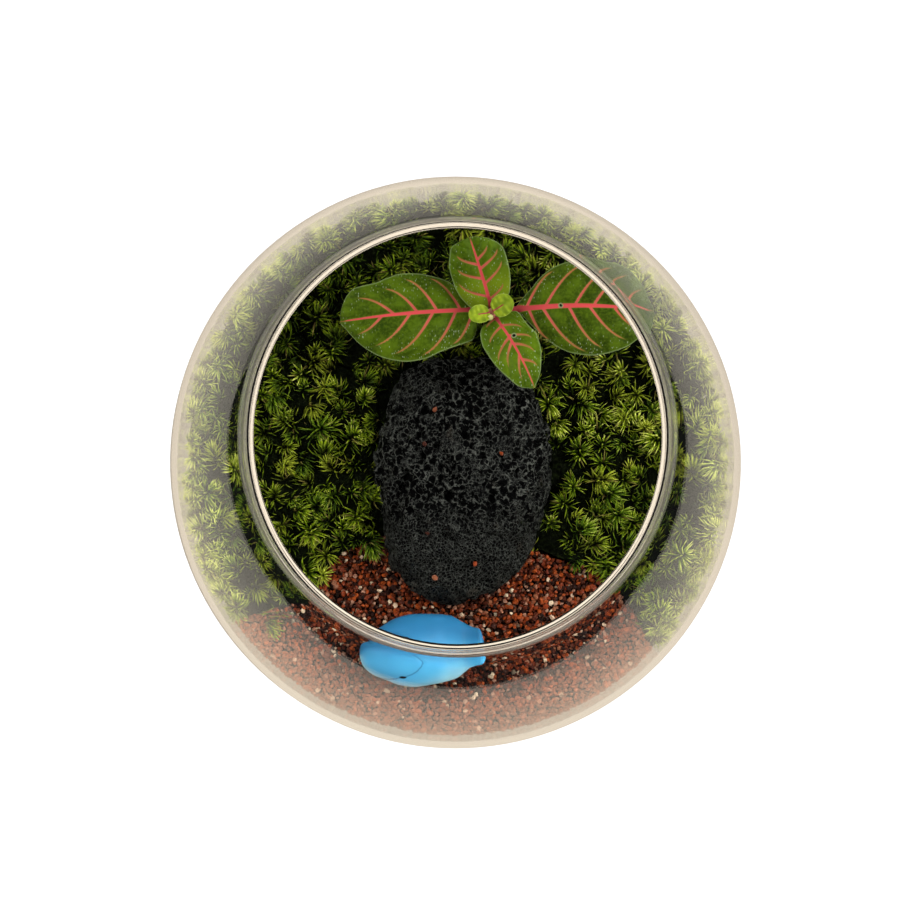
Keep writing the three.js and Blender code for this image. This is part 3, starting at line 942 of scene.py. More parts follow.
def moss_on_glass():
    """Feet of the shoots that stand against the glass, the way out and the cushion they are in."""
    count, feet = 76, []
    for row, lift in enumerate((-9.5, -6, -2.5)):
        turn = staggered(count, row) + dice.normal(0, 0.02, count)
        x, y = around(69, turn)
        z = moss_z(x, y, cushion_of(x, y)[1]) - 4 + lift
        feet.append(np.stack([*around(room(z) - 3.2, turn), z], 1))
    feet = np.vstack(feet)
    x, y, z = feet.T
    which = cushion_of(x, y)[0]
    keep = (which >= 0) & ~inside_outline(gravel_outline(), x, y) & (z > ground_z(x, y) - 1)
    return feet[keep], np.arctan2(y, x)[keep], which[keep]


def tufts_on_glass(patterns, feet, out):
    """Shoots that lean out over their feet towards the glass."""
    n = len(feet)
    turn = turns_of(out + dice.normal(0, 0.4, n), dice.uniform(0.1, 0.6, n),
                    dice.normal(0, 1.2, n), dice.uniform(0.75, 1.05, n))
    # The level only sets colour here: it paints these shoots by the glass lighter, as painted
    # light.
    return strewn_shoots(patterns, feet, turn,
                         tint=dice.uniform(0, 1, n), level=dice.normal(3.3, 0.9, n))


def moss_bed(name):
    """The dark tangle of old stems under the shoots, made from the cushion's own outline; its
    near-black is partly painted shade.
    """
    bed = solid_copy(name, "_bed")
    bed.parent = None
    for key in [k for k in bed.keys() if k.startswith("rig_")]:
        del bed[key]
    in_edit_mode(bed, close_seams, finer(3))
    x, y, z = corners(bed).T
    floor = ground_z(x, y)
    rise = np.maximum(z - floor, 0)
    z = floor + np.minimum(rise, 0.4 + 0.55 * rise) \
        + 0.5 * ripple(x * 1.7, y * 1.7, 1.9) * (rise > 1)
    flat = np.hypot(x, y)
    inner = room(z) - 0.5
    drawn = np.where(flat > inner - 1, inner / flat, 1)
    move_corners(bed, np.stack([x * drawn, y * drawn, z], 1))
    return bed


def make_moss():
    blade = Blade()
    tall = [moss_shoot(blade, seed, 40, 7 + 0.5 * (seed % 3), 4.4 + 0.3 * (seed % 4),
                       (0.5, 1.1, 1.7)[seed % 3]) for seed in range(9)]
    short = [moss_shoot(blade, 40 + seed, 20, 5.5, 3.7, (0.6, 1.4)[seed % 2]) for seed in range(6)]
    green, dark = moss_finish(), moss_bed_finish()
    crown, crown_in, crown_share = growing(scattered(5.0), 1.5)
    fill, fill_in, fill_share = growing(scattered(4.3), 0.6)
    wall, wall_out, wall_in = moss_on_glass()
    for k, name in enumerate(CUSHIONS):
        a, b, c = crown_in == k, fill_in == k, wall_in == k
        parts = tufts(tall, crown[a], crown_share[a], 7.2, (0.85, 1.25))
        parts += tufts(short, fill[b], fill_share[b], 8.2, (0.85, 1.2))
        parts += tufts_on_glass(tall, wall[c], wall_out[c])
        points, faces, values = joined(parts)
        shoots = made(name + "_shoots", against_glass(points), faces, **values)
        bed = moss_bed(name)
        dressed(shoots, green, "moss", name)
        dressed(bed, dark, "moss", name)


def moss_finish():
    green = Finish("star_moss", Roughness=0.35, Specular_IOR_Level=0.2)
    reach, low, tint = green.value("reach"), green.value("low"), green.value("tint")
    leaf, level = green.value("leaf"), green.value("level")
    # The share runs from dark leaf bases to pale tips. It is partly the leaves' own colour and
    # partly painted: painted shade on lower leaves and on lower shoots, painted light by area and
    # on shoots by the glass, and painted glints on the palest tips.
    share = reach * 0.8 + (leaf - 0.5) * 0.22 + (1 - low) * 0.22 + level * 0.07 - 0.05 \
        + green.off_axis().ease(0.061, 0.067) * 0.2
    colour = green.band(share, (0.0, "050702"), (0.3, "151d03"), (0.55, "3c4f07"),
                        (0.8, "7d8f12"), (1.0, "d0d468"))
    bright = share.ease(0.1, 0.8)
    colour = green.over(
        colour,
        (tint.ease(0.65, 0.95) * 0.6, green.blend(bright, "0f1003", "9aa02c")),
        (tint.ease(0.35, 0.05) * 0.5, green.blend(bright, "070e02", "3d5c12")),
        (leaf.ease(0.94, 0.97) * 0.7, "6d5a33"))
    return green.set(Base_Color=colour)


def moss_bed_finish():
    # Near-black: the old stems' own dark colour, darkened further as painted shade between the
    # shoots.
    dark = Finish("moss_stems_painted_shade", Roughness=1.0, Specular_IOR_Level=0.05)
    streak = dark.noise(900, 3.0)
    colour = dark.band(streak, (0.3, "020301"), (0.55, "070a03"), (0.75, "141a08"))
    return dark.set(Base_Color=colour, Normal=dark.bump(streak, 0.8))


# ---------------------------------------------------------------- pieces swept along a line

def swept(name, rows, sides, section):
    """A closed form from section(share, turn), where share runs along it and turn goes round."""
    deselect()
    bpy.ops.mesh.primitive_grid_add(x_subdivisions=rows, y_subdivisions=sides, size=1)
    piece = started(name)
    flat = corners(piece) * MM + 0.5
    points, values = section(flat[:, 0], FULL_TURN * flat[:, 1])
    move_corners(piece, points)
    for key, numbers in values.items():
        mark(piece.data, key, numbers)
    in_edit_mode(piece, outward)
    smooth(piece)
    return piece


# ---------------------------------------------------------------- the plant

STATIONS = [0, .02, .06, .12, .2, .3, .42, .54, .64, .72, .8, .87, .93, .97, 1]
ROUND = np.array([0, .5, .75, .9, 1.05, 1.15, 1.2, 1.2, 1.15, 1.07, .95, .8, .62, .4, 0])
STEM_RADIUS = 1.3
BUD = (8.6, 34.7, 88.6)
# How high the joints of the stem are, where its leaves stand and older ones stood.
JOINTS = (62, 73, 83.5, 87.3)
STEM = np.array([(11, 41, 52.5), (10.6, 39.5, 75), (9.1, 35.9, 89)])

# Where a leaf joins the stem and which way it goes; then its two half widths at the stations,
# and on each side its side veins: where each leaves the midrib, where it ends, and how far
# from the midrib that is.
LEAVES = {
    "leaf_left": dict(
        height=83.5, azimuth=185.8, pitch=22, bend=34, start=1.6, beside=-.9, sway=-.2,
        petiole=2.5, length=35.9, droop=1.6, tone=0.15,
        left=[0, 5.2, 7.8, 8.5, 9.3, 10.4, 11.9, 12.2, 11.6, 10.6, 8.8, 6.6, 3.9, 1.9, 0],
        right=[0, .6, 2.2, 5, 7.9, 9.4, 10.4, 10.7, 9.9, 9, 8.6, 8.3, 6.7, 4.4, 0],
        veins=([(.03, .24, 8.8), (.159, .481, 11.2), (.326, .68, 10.2), (.492, .796, 7.6),
                (.697, .90, 4.0)],
               [(.125, .363, 9.1), (.298, .539, 9.2), (.44, .69, 7.2), (.606, .89, 5.5)]),
        rib=0.5),
    "leaf_right": dict(
        height=83.5, azimuth=-.7, pitch=20, bend=34, start=1.6, beside=.5, sway=.8,
        petiole=4.2, length=36.4, droop=1.6, tone=0.0,
        left=[0, 1.2, 2.9, 5.2, 8.5, 10.8, 12, 12.2, 12, 11.6, 10.7, 8.6, 5.4, 2.2, 0],
        right=[0, .4, 1.9, 4.5, 7.3, 10.2, 12.2, 12.7, 12.2, 11.3, 10.1, 8.1, 6.2, 4.3, 0],
        veins=([(.085, .311, 9.6), (.22, .56, 11.5), (.43, .74, 10.5), (.56, .84, 8.8),
                (.76, .93, 5.2)],
               [(.1, .277, 8.6), (.2, .566, 12), (.385, .66, 10.8), (.53, .83, 8.4),
                (.705, .9, 5.2)]),
        rib=0.6, spots=[(.33, .1)]),
    "leaf_back": dict(
        height=87, azimuth=109.4, pitch=46, bend=34, start=1.6, beside=-.4, sway=0,
        petiole=.2, length=19.3, droop=1, tone=0.5,
        left=[0, 3.6, 4.8, 5.5, 6.2, 7, 7.4, 7.5, 7.5, 7.3, 6.8, 6.2, 5.6, 4.7, 0],
        right=[0, 2.5, 4.6, 5.7, 6.2, 6.8, 7.2, 7.4, 7.5, 7.4, 6.7, 5.4, 3.9, 2.2, 0],
        veins=([(.153, .52, 6.4), (.42, .69, 5.6), (.62, .857, 4.7)],
               [(.105, .29, 4.7), (.345, .61, 6), (.56, .77, 5.9), (.69, .835, 3.5)]),
        rib=0.42),
    "leaf_front": dict(
        height=87, azimuth=-62.4, pitch=30, bend=40, start=1.6, beside=.2, sway=.6,
        petiole=.2, length=21.6, droop=1, tone=0.85,
        left=[0, 5, 5.7, 5.9, 5.8, 5.9, 6.5, 6.1, 5.5, 4.7, 3.8, 2.9, 1.8, .8, 0],
        right=[0, 4, 5.1, 5.9, 6.6, 7, 7, 6.7, 6.1, 5.5, 4.8, 4.1, 3, 1.6, 0],
        veins=([(.13, .306, 4.2), (.3, .472, 5), (.42, .647, 3.9), (.64, .81, 2.9)],
               [(0, .07, 3.5), (.14, .292, 5.1), (.32, .56, 5.6), (.385, .684, 4),
                (.57, .88, 2.3)]),
        rib=0.32, spots=[(.33, 1.2)]),
    "young_leaf_left": dict(
        height=90, azimuth=193, pitch=34, bend=30, start=.4, beside=0, sway=0,
        petiole=.1, length=5.8, droop=-.3, tone=0.2, left=2 * ROUND, right=2 * ROUND, rib=0.16),
    "young_leaf_right": dict(
        height=90, azimuth=29, pitch=38, bend=30, start=.4, beside=0, sway=0,
        petiole=.1, length=6.2, droop=-.3, tone=0.5, left=2.4 * ROUND, right=2.4 * ROUND, rib=0.18),
}


def on_stem(t):
    """The stem's middle at a share of its length."""
    a, b, c = STEM
    t = np.asarray(t)[..., None]
    return (1 - t) ** 2 * a + 2 * t * (1 - t) * b + t * t * c


def stem_at(height):
    """The stem's middle at a height."""
    steps = np.linspace(0, 1, 400)
    line = on_stem(steps)
    return line[np.argmin(np.abs(line[:, 2] - height))]


def side_veins(share, away, length, veins):
    """Fields over one half of a blade for its side veins: a number that is whole along each
    vein, the millimetres that one step of it spans, each vein's half width and how far along
    its vein a point is."""
    lines, lean = [], []
    for start, end, reach in veins:
        part = away / reach
        bent = np.clip(part, 0, 0.94)
        slope = (end - start) / (2 * np.sqrt(1 - bent))
        line = start + (end - start) * (1 - np.sqrt(1 - bent)) + (part - bent) * slope
        if lines:
            line = np.maximum(line, lines[-1] + 0.05)
        lines.append(line)
        lean.append(np.hypot(1, slope / reach * length))
    lines = [2 * lines[0] - lines[1]] + lines + [2 * lines[-1] - lines[-2]]
    steps = [(share - low) / (high - low) for low, high in zip(lines, lines[1:])]
    number = -1 + np.minimum(steps[0], 1) + np.maximum(steps[-1], 0) \
        + sum(np.clip(step, 0, 1) for step in steps[1:-1])
    nearest = np.clip(np.round(number).astype(int), 0, len(veins) - 1)
    gap = np.zeros_like(share)
    for k, (low, high) in enumerate(zip(lines, lines[1:])):
        gap = np.where((number >= k - 1) & (number <= k), high - low, gap)
    gap = np.where(gap == 0, 0.2, gap)
    lean = np.choose(nearest, lean)
    along = np.choose(nearest, [away / reach for _, _, reach in veins])
    real = (number > -0.5) & (number < len(veins) - 0.5)
    half = np.where(real, mix(0.36, 0.19, np.clip(along, 0, 1)) * (1 - ramp(along, 0.88, 1.03)), 0)
    return number, gap * length / lean, half, along


def rib_half_width(rib, share):
    """Half the width of a midrib, which is thickest at the foot of the blade."""
    return rib * np.where(share < 0.5, mix(1.15, 0.9, share * 2), mix(0.9, 0.25, share * 2 - 1)) \
        * (1 - ramp(share, 0.93, 0.985)) * mix(1.5, 1, ramp(share, 0, 0.1))


def quilted(veins, share, across, rim, length):
    """How high a blade bulges between its side veins, and the numbers for its finish."""
    away = np.abs(across)
    left, right = (side_veins(share, away, length, side) for side in veins)
    number, pitch, half, part = (np.where(across > 0, a, b) for a, b in zip(left, right))
    quilt = np.sin(math.pi * (number - np.floor(number))) ** 0.8
    quilt *= np.where((number > -1) & (number < 5), 1, 0)
    lift = 0.42 * quilt * ramp(away, 0.4, 2.2) * ramp(rim, 0, 2.5)
    return lift, dict(nerve=number, pitch=pitch, half=half, part=part,
                      quilt=quilt * ramp(away, 0.4, 2.5))


def leaf_section(height, azimuth, pitch, bend, start, beside, sway, petiole, length, droop,
                 left, right, rib, tone, veins=None, spots=()):
    """The section of one leaf, from its foot on the stem to its tip, for swept()."""
    foot, turn = stem_at(height), math.radians(azimuth)
    whole = petiole + length
    widest = max(max(left), max(right))
    stalk = min(0.9, widest / 4)
    risen, arc = math.radians(pitch), whole / math.radians(bend)

    def half_width(margin, share):
        return np.sqrt(np.maximum(stations(STATIONS, np.square(margin), share), 0))

    def relief(share, across, reach, v):
        """How far the blade stands out of its smooth sheet, and the numbers for its finish."""
        rim = reach - np.abs(across)
        if veins:
            lift, values = quilted(veins, share, across, rim, length)
        else:
            lift = 0.12 * np.sin(share * 26) * ramp(np.abs(across), 0.2, 0.8) * ramp(rim, 0, .6)
            values = {}
        spot = np.full(len(share), 9.0)
        for place, aside in spots:
            spot = np.minimum(spot, np.hypot((share - place) * length, across - aside))
        values.update(rib=across, share=share, rim=rim, tone=np.full(len(share), tone),
                      rib_half=rib_half_width(rib, share), spot=spot)
        edge = np.abs(across) / np.maximum(reach, 0.01)
        groove = -0.28 * np.exp(-np.square(across / (1.6 * rib + 0.3))) * ramp(share, 0, 0.1)
        wave = 0.28 * np.sin(share * 17 + 2 * v) * edge ** 3 * (length > 10)
        return (lift + groove + wave) * ramp(share, 0.02, 0.15), values

    def thickness(u, share):
        thick = mix(2 * stalk, min(0.5, length / 16), ramp(share, 0, 0.15))
        return thick * np.sqrt(np.clip(np.minimum(u / 0.02, (1 - u) / 0.02), 0, 1))

    def section(u, angle):
        along = whole * (1 - np.cos(math.pi * u)) / 2
        share = np.clip((along - petiole) / length, 0, 1)
        stem_part = stalk * (1 - ramp(share, 0.0, 0.09)) * np.sqrt(ramp(u, -0.02, 0.03))
        to_left = np.maximum(half_width(left, share), stem_part)
        to_right = np.maximum(half_width(right, share), stem_part)
        # The rows of corners crowd at the margins; this moves them a little towards the midrib.
        v = (1 + np.cos(angle)) / 2
        v = v + 0.035 * np.sin(FULL_TURN * v)
        across = mix(-to_right, to_left, v)
        raised, values = relief(share, across, np.where(across > 0, to_left, to_right), v)
        aside = across + beside + 4 * sway * share * (1 - share)
        leaning = risen - along / arc
        out = start * ramp(u, -0.4, 0.02) + arc * (math.sin(risen) - np.sin(leaning))
        bulge = np.sign(np.sin(angle)) * np.abs(np.sin(angle)) ** 0.7
        sag = droop * (across / widest) ** 2
        up = arc * (np.cos(leaning) - math.cos(risen)) - sag + bulge * thickness(u, share) / 2 \
            + raised
        return np.stack([foot[0] + out * math.cos(turn) - aside * math.sin(turn),
                         foot[1] + out * math.sin(turn) + aside * math.cos(turn),
                         height + up], 1), values

    return section


def stem_section(u, angle):
    """The plant's stem, a little thicker at its joints."""
    middle = on_stem(u)
    swollen = sum(np.exp(-np.square((middle[:, 2] - z) / 0.9)) for z in JOINTS)
    radius = STEM_RADIUS * (0.84 + 0.16 * np.clip(swollen, 0, 1)) * np.sqrt(
        np.clip(np.minimum(u / 0.01, (1 - u) / 0.03), 0, 1))
    return middle + np.stack([*around(radius, angle), 0 * u], 1), dict(share=u)


def bud_section(u, angle):
    """The tiny bud between the young leaves."""
    x, y = around(0.95 * np.sin(math.pi * u) ** 0.7 * (1 + 0.12 * np.cos(2 * angle)), angle)
    return np.stack([x, y, 2.2 * u], 1) + BUD, {}


def make_plant():
    grown, young = leaf_finish(), young_leaf_finish()
    for name, leaf in LEAVES.items():
        small = name.startswith("young")
        piece = swept(name + "_blade", 50 if small else 110, 48 if small else 88,
                      leaf_section(**leaf))
        dressed(piece, young if small else grown, "young_leaf" if small else "leaf", name)
    stem = Finish("pink_stem", Roughness=0.5, Subsurface_Weight=0.1, Subsurface_Scale=0.001)
    fuzz = stem.noise(1500)
    stem.set(Base_Color=stem.blend(stem.value("share").ease(0.2, 1.0), "7d6a35",
                                   stem.band(fuzz, (0.3, "8d4a41"), (0.7, "b06a58"))),
             Normal=stem.bump(fuzz, 0.15))
    dressed(swept("plant_stalk", 120, 20, stem_section), stem, "stem", "plant_stem")
    bud = Finish("pale_bud", Base_Color="a3a163", Roughness=0.6)
    bud.set(Normal=bud.bump(bud.noise(1200), 0.1))
    dressed(swept("leaf_bud", 24, 20, bud_section), bud, "young_leaf")


def leaf_finish():
    leaf = Finish("veined_leaf", Roughness=0.5, Specular_IOR_Level=0.05)
    rib, rim, tone, share, nerve, part, half, spot = map(leaf.value, (
        "rib", "rim", "tone", "share", "nerve", "part", "half", "spot"))
    in_vein = half - abs(nerve - nerve.rounded()) * leaf.value("pitch")
    in_rib = leaf.value("rib_half") - abs(rib)
    vein = in_vein.ease(-0.12, 0.1) * half.ease(0.0, 0.16)
    fringe = in_vein.ease(-0.45, -0.02) * half.ease(0.0, 0.1)
    rib_fringe = in_rib.ease(-0.4, 0.0)
    cloud, fine = leaf.noise(190, 3.0), leaf.noise(1400)
    lying = leaf.scaled(leaf.place(), (1.0, 0.4, 1.0))
    hairs = leaf.cells(1900, place=lying).ease(0.27, 0.15) * leaf.noise(700).ease(0.42, 0.54) \
        * rim.ease(9.0, 2.0)
    green = leaf.blend(
        tone, leaf.band(cloud, (0.3, "1a2703"), (0.55, "253303"), (0.75, "354405")),
        leaf.band(cloud, (0.3, "2d4004"), (0.55, "3b5007"), (0.75, "4d620b")))
    colour = leaf.over(
        green,
        # Painted highlight: the bulging middles of the panels between the side veins are painted a
        # lighter green.
        (leaf.value("quilt") * 0.3 * cloud.ease(0.35, 0.65), "4e650c"),
        (tone.ease(0.4, 0.5) * tone.ease(0.6, 0.55) * share.ease(0.6, 0.25) * 0.7, "617012"),
        ((fringe * (1 - part * 0.5)).most(rib_fringe) * 0.4, "56621f"),
        (rim.ease(0.42, 0.12) * 0.6, "6c7a50"),
        (fine.ease(0.35, 0.7) * 0.3, "50650e"),
        (hairs * 0.6, "8a917c"),
        (vein * (1 - tone.ease(0.8, 0.9) * 0.35),
         leaf.blend(part.ease(0.1, 0.9), "9c443b", "82522e")),
        (in_rib.ease(-0.12, 0.12), leaf.blend(share.ease(0.02, 0.2), "7a2a2c", "a63a3b")),
        (spot.ease(0.85, 0.6), "666f4b"), (spot.ease(0.5, 0.38), "0c0d08"))
    height = fine * 0.3 + cloud * 0.2 - in_vein.ease(-0.6, 0.3) * (1 - rib_fringe) * 0.4
    return leaf.set(Base_Color=colour, Normal=leaf.bump(height, 0.22),
                    Roughness=fine.ease(0.3, 0.7, 0.4, 0.55))


def young_leaf_finish():
    leaf = Finish("young_leaf_skin", Roughness=0.5, Specular_IOR_Level=0.1)
    rib, rim, share = leaf.value("rib"), leaf.value("rim"), leaf.value("share")
    midrib = (leaf.value("rib_half") - abs(rib)).ease(-0.08, 0.06) * share.ease(0.62, 0.5)
    puff = leaf.cells(900, feature="SMOOTH_F1")
    green = leaf.band(puff, (0.1, "808f1c"), (0.5, "687a15"), (0.9, "46590f"))
    green = leaf.blend(rim.ease(0.3, 0.1) * 0.5, green, "7c8a3a")
    return leaf.set(Base_Color=leaf.blend(midrib, green, "7f3031"), Normal=leaf.bump(puff, 0.35))


# ---------------------------------------------------------------- the whale figurine

WHALE = dict(at=(-9.2, -49.5, 52.4), turn=5, length=33.3, nose=-16.5)
# Along the body from the nose: half width, underside and top.
WHALE_WIDTH = [(0, 0), (.9, 3.2), (3, 5.4), (6.5, 7.2), (10.5, 9), (14.5, 9.7), (20.5, 9.3),
               (25, 8.5), (28, 6.6), (30.5, 4.9), (32.4, 4.2), (33.3, 0)]
WHALE_BELLY = [(0, 6), (.6, 3.4), (2.5, 1.2), (6, 0), (22, 0), (26.5, 2.6), (29.5, 6.8),
               (31.5, 9.8), (33.3, 12.8)]
WHALE_BACK = [(0, 6), (.6, 9.2), (2.4, 11.8), (5.5, 13.6), (10, 14.6), (15, 14.6), (20, 13.2),
              (24, 11.2), (27.5, 10.8), (30.5, 12.8), (32.4, 15), (33.3, 14.4)]
# The moulded line round the head, seen from above; then for each eye its middle and its slant.
HEAD_LINE = [(4.6, -6.4), (7.5, -7.0), (11.2, -6.8), (14.2, -6.0), (16.3, -4.4), (17.1, -2.1),
             (16.2, 0.6), (14.6, 2.5), (12.6, 3.9), (9.4, 5.3), (5.5, 6.2)]
EYES = [(11.2, -6.8, -8), (13.3, 3.3, -18)]


def line_distance(line, x, y):
    """How far each point is from a line through given points."""
    best = np.full(len(x), 99.0)
    for (x0, y0), (x1, y1) in zip(line, line[1:]):
        t = np.clip(((x - x0) * (x1 - x0) + (y - y0) * (y1 - y0))
                    / ((x1 - x0) ** 2 + (y1 - y0) ** 2), 0, 1)
        best = np.minimum(best, np.hypot(x - x0 - t * (x1 - x0), y - y0 - t * (y1 - y0)))
    return best


def eye_distance(x, y):
    """About how many millimetres each point is from the middle of a narrow slanting eye."""
    best = np.full(len(x), 9.0)
    for ex, ey, slant in EYES:
        tilt = math.radians(slant)
        dx, dy = x - ex, y - ey
        best = np.minimum(best, np.hypot((dx * math.cos(tilt) + dy * math.sin(tilt)) / 1.05,
                                         (dy * math.cos(tilt) - dx * math.sin(tilt)) / 0.34))
    return best


def whale_section(u, angle):
    """The whale's section, from its nose to its tail, for swept()."""
    def read(table):
        return stations(*zip(*table), place)

    place = WHALE["length"] * (1 - np.cos(math.pi * u)) / 2
    half = np.sqrt(np.maximum(read([(p, w * w) for p, w in WHALE_WIDTH]), 0))
    belly, back = read(WHALE_BELLY), read(WHALE_BACK)
    y, up = half * np.cos(angle), np.sin(angle)
    upper = ramp(up, 0.0, 0.2)
    line = line_distance(spline(HEAD_LINE, 80), place, y)
    eye = eye_distance(place, y) + 5 * (1 - upper)
    dent = 0.16 * np.exp(-np.square(line / 0.45)) + 0.25 * (1 - ramp(eye, 0.4, 1.2))
    cap = inside_outline(np.array(HEAD_LINE + [(-3, 9), (-3, -9)]), place, y)
    swell = 0.25 * cap * upper * ramp(line, 0, 1.6)
    z = (belly + back) / 2 + (back - belly) / 2 * up + (swell - dent) * upper
    along = place + WHALE["nose"]
    turn = math.radians(WHALE["turn"])
    cx, cy, cz = WHALE["at"]
    return np.stack([cx + along * math.cos(turn) - y * math.sin(turn),
                     cy + along * math.sin(turn) + y * math.cos(turn), cz + z], 1), \
        dict(line=np.where(cap, line, -line) + 12 * (1 - upper), eye=eye, height=z,
             far=np.cos(angle))


def vinyl_finish():
    vinyl = Finish("blue_soft_vinyl", Roughness=0.45, Subsurface_Weight=0.15,
                   Subsurface_Scale=0.002, Specular_IOR_Level=0.22)
    far, eye = vinyl.value("far"), vinyl.value("eye")
    blue = vinyl.band(vinyl.noise(90), (0.3, "4297c5"), (0.7, "4aa0cc"))
    colour = vinyl.over(
        blue,
        # Painted shade on the far side, painted darker blue, and painted light on the low edges of
        # the near side, painted pale cyan.
        (far.ease(-0.5, 0.6) * 0.9, "1f5c85"),
        (vinyl.value("height").ease(12.5, 5.0) * far.ease(0.3, -0.3) * 0.9, "b4e0e4"),
        # Painted shade: darker blue along the moulded groove round the head.
        (abs(vinyl.value("line")).ease(0.3, 0.08) * 0.6, "164f75"),
        (eye.ease(1.15, 0.9), "07090c"))
    return vinyl.set(Base_Color=colour, Roughness=eye.ease(1.15, 0.9, 0.45, 0.2),
                     Normal=vinyl.bump(vinyl.noise(2600), 0.05))


def make_whale():
    dressed(swept("whale_body", 116, 84, whale_section), vinyl_finish(), "blue_vinyl",
            "whale_figurine")


# ---------------------------------------------------------------- gravel

def stone(seed, rough, shape=(1.0, 0.82, 0.68), subdivisions=1):
    """A pebble or grain about 1 across."""
    own = np.random.default_rng(seed)
    deselect()
    bpy.ops.mesh.primitive_ico_sphere_add(subdivisions=subdivisions, radius=0.5)
    piece = started("stone")
    points = corners(piece) * MM
    lumps = 1 + rough * (np.sin(points @ own.normal(0, 3.5, 3) + own.uniform(0, 6))
                         + np.sin(points @ own.normal(0, 5, 3) + own.uniform(0, 6)))
    points = points * lumps[:, None] * np.array(shape) * own.uniform(0.85, 1.15, 3)
    points += own.normal(0, rough * 0.16, points.shape)
    move_corners(piece, points)
    return Pattern.of(piece)


def strewn(patterns, places, sizes):
    """Copies of the patterns, each turned any way, at the places. Every copy has its own tint."""
    kind = dice.integers(len(patterns), size=len(places))
    parts = []
    for k, pattern in enumerate(patterns):
        here = places[kind == k]
        if len(here):
            n = len(here)
            turn = turns_of(*dice.uniform(0, FULL_TURN, (3, n)), sizes[kind == k])
            parts.append(pattern.repeated(turn, here, tint=dice.uniform(0, 1, n)))
    return joined(parts)


def core(name, shrink, sink=0.0, above=None):
    """A node's own solid, drawn in from the glass and lowered, to lie behind loose pieces."""
    piece = solid_copy(name, "_core")
    in_edit_mode(piece, outward, finer(1))
    points = corners(piece)
    near_glass = np.linalg.norm(points - GLOBE_MIDDLE, axis=1) > INSIDE - 1.5
    flat = np.maximum(np.hypot(points[:, 0], points[:, 1]), 1)
    points[near_glass, :2] *= ((room(points[:, 2]) - shrink) / flat)[near_glass, None]
    if above is not None:
        high = points[:, 2] > above(points[:, 0], points[:, 1])
        points[high, 2] -= sink
    move_corners(piece, points)
    return piece


# Where single grains lie on top of the rock.
STRAYS = [(-5.4, 13.2), (-8, 4.1), (-7.2, -19.2), (-5.5, -30.5), (5.2, -27), (12, 1.5)]


def bare_ground(x, y, gravel):
    """Where neither moss nor gravel covers the ground."""
    return (cushion_of(x, y)[0] < 0) & ~inside_outline(gravel, x, y)


def gravel_on_top(gravel, rock, spacing, drop):
    """Grains in the top of the gravel and, lower, on the bare ground beside it."""
    x, y = packed(spacing, INSIDE - 0.3).T
    mx, my = WHALE["at"][:2]
    ring_x, ring_y = around(1, np.linspace(0, FULL_TURN, 24))
    whale = np.stack([mx + 14 * ring_x, my + 7 * ring_y], 1)
    bare = bare_ground(x, y, gravel)
    z = gravel_z(x, y) - drop - np.where(bare, 1.5, 0)
    keep = (inside_outline(gravel, x, y) | bare) & (np.hypot(x, y) < room(z) - 0.5) \
        & ~inside_outline(rock, x, y) & ~inside_outline(whale, x, y)
    n = keep.sum()
    sizes = dice.uniform(1.0, 1.8, n) * np.where(dice.uniform(0, 1, n) > 0.93, 1.25, 1)
    return np.stack([x[keep], y[keep], z[keep] + dice.normal(0, 0.22, n)], 1), sizes


def gravel_by_glass(gravel):
    """Grains that are pressed against the glass, from the ground to the top of the gravel."""
    turn, share = np.meshgrid(np.radians(np.arange(205, 325, 1.0)), np.arange(0.04, 1, 0.095))
    turn = turn.ravel() + dice.normal(0, 0.005, turn.size)
    x, y = around(71, turn)
    z = mix(ground_z(x, y), gravel_z(x, y), share.ravel()) + dice.normal(0, 0.2, turn.size)
    radius = room(z) - dice.uniform(0.35, 0.9, turn.size)
    wall = np.stack([*around(radius, turn), z], 1)
    wall = wall[inside_outline(gravel, wall[:, 0], wall[:, 1])]
    return wall, dice.uniform(1.2, 1.9, len(wall))


def gravel_on_ground(gravel, rock, level):
    """Grains at one level over the bare ground."""
    x, y = packed(1.2).T
    bare = bare_ground(x, y, gravel) & ~inside_outline(rock, x, y)
    x, y = x[bare], y[bare]
    n = len(x)
    return np.stack([x + dice.normal(0, 0.3, n), y, ground_z(x, y) + level], 1), \
        dice.uniform(1.1, 1.8, n)


def gravel_on_rock():
    """The stray grains, each on the highest part of the rock's skin near it."""
    skin = corners(bpy.data.objects["rock"])
    tops = [skin[np.hypot(*(skin[:, :2] - stray).T) < 0.7, 2].max() + 0.3 for stray in STRAYS]
    return np.column_stack([STRAYS, tops]), np.full(len(STRAYS), 1.5)


def grain_finish():
    red = Finish("red_lava_grains", Specular_IOR_Level=0.25)
    # The near-white stops turn a few grains into painted glints.
    colour = red.band(red.value("tint"), (0.0, "060302"), (0.2, "200b06"), (0.38, "4a1b0b"),
                      (0.57, "732b0f"), (0.7, "924015"), (0.8, "521c0b"), (0.89, "7a472e"),
                      (0.955, "98705c"), (0.985, "d0b99b"), (1.0, "1c120f"))
    mottle = red.noise(2200, 3.0)
    # Against the glass the grains are painted lighter, as painted light.
    painted_light_by_glass = red.off_axis().ease(0.06, 0.066)
    colour = red.over(colour, (mottle.ease(0.5, 0.75) * 0.45, "2c0f08"),
                      (red.noise(3400).ease(0.6, 0.75) * 0.4, "a8602f"), (painted_light_by_glass * 0.4, "b8704c"))
    return red.set(Base_Color=colour, Roughness=mottle.ease(0.3, 0.7, 0.28, 0.6),
                   Normal=red.bump(mottle, 0.25))


def between_finish():
    """The dark gaps between the grains: a near-black filling as painted shade."""
    dark = Finish("gravel_between", Roughness=0.9, Specular_IOR_Level=0.1)
    return dark.set(Base_Color=dark.blend(dark.noise(900).ease(0.4, 0.65), "050201", "1c0b06"),
                    Normal=dark.bump(dark.cells(900), 0.6))


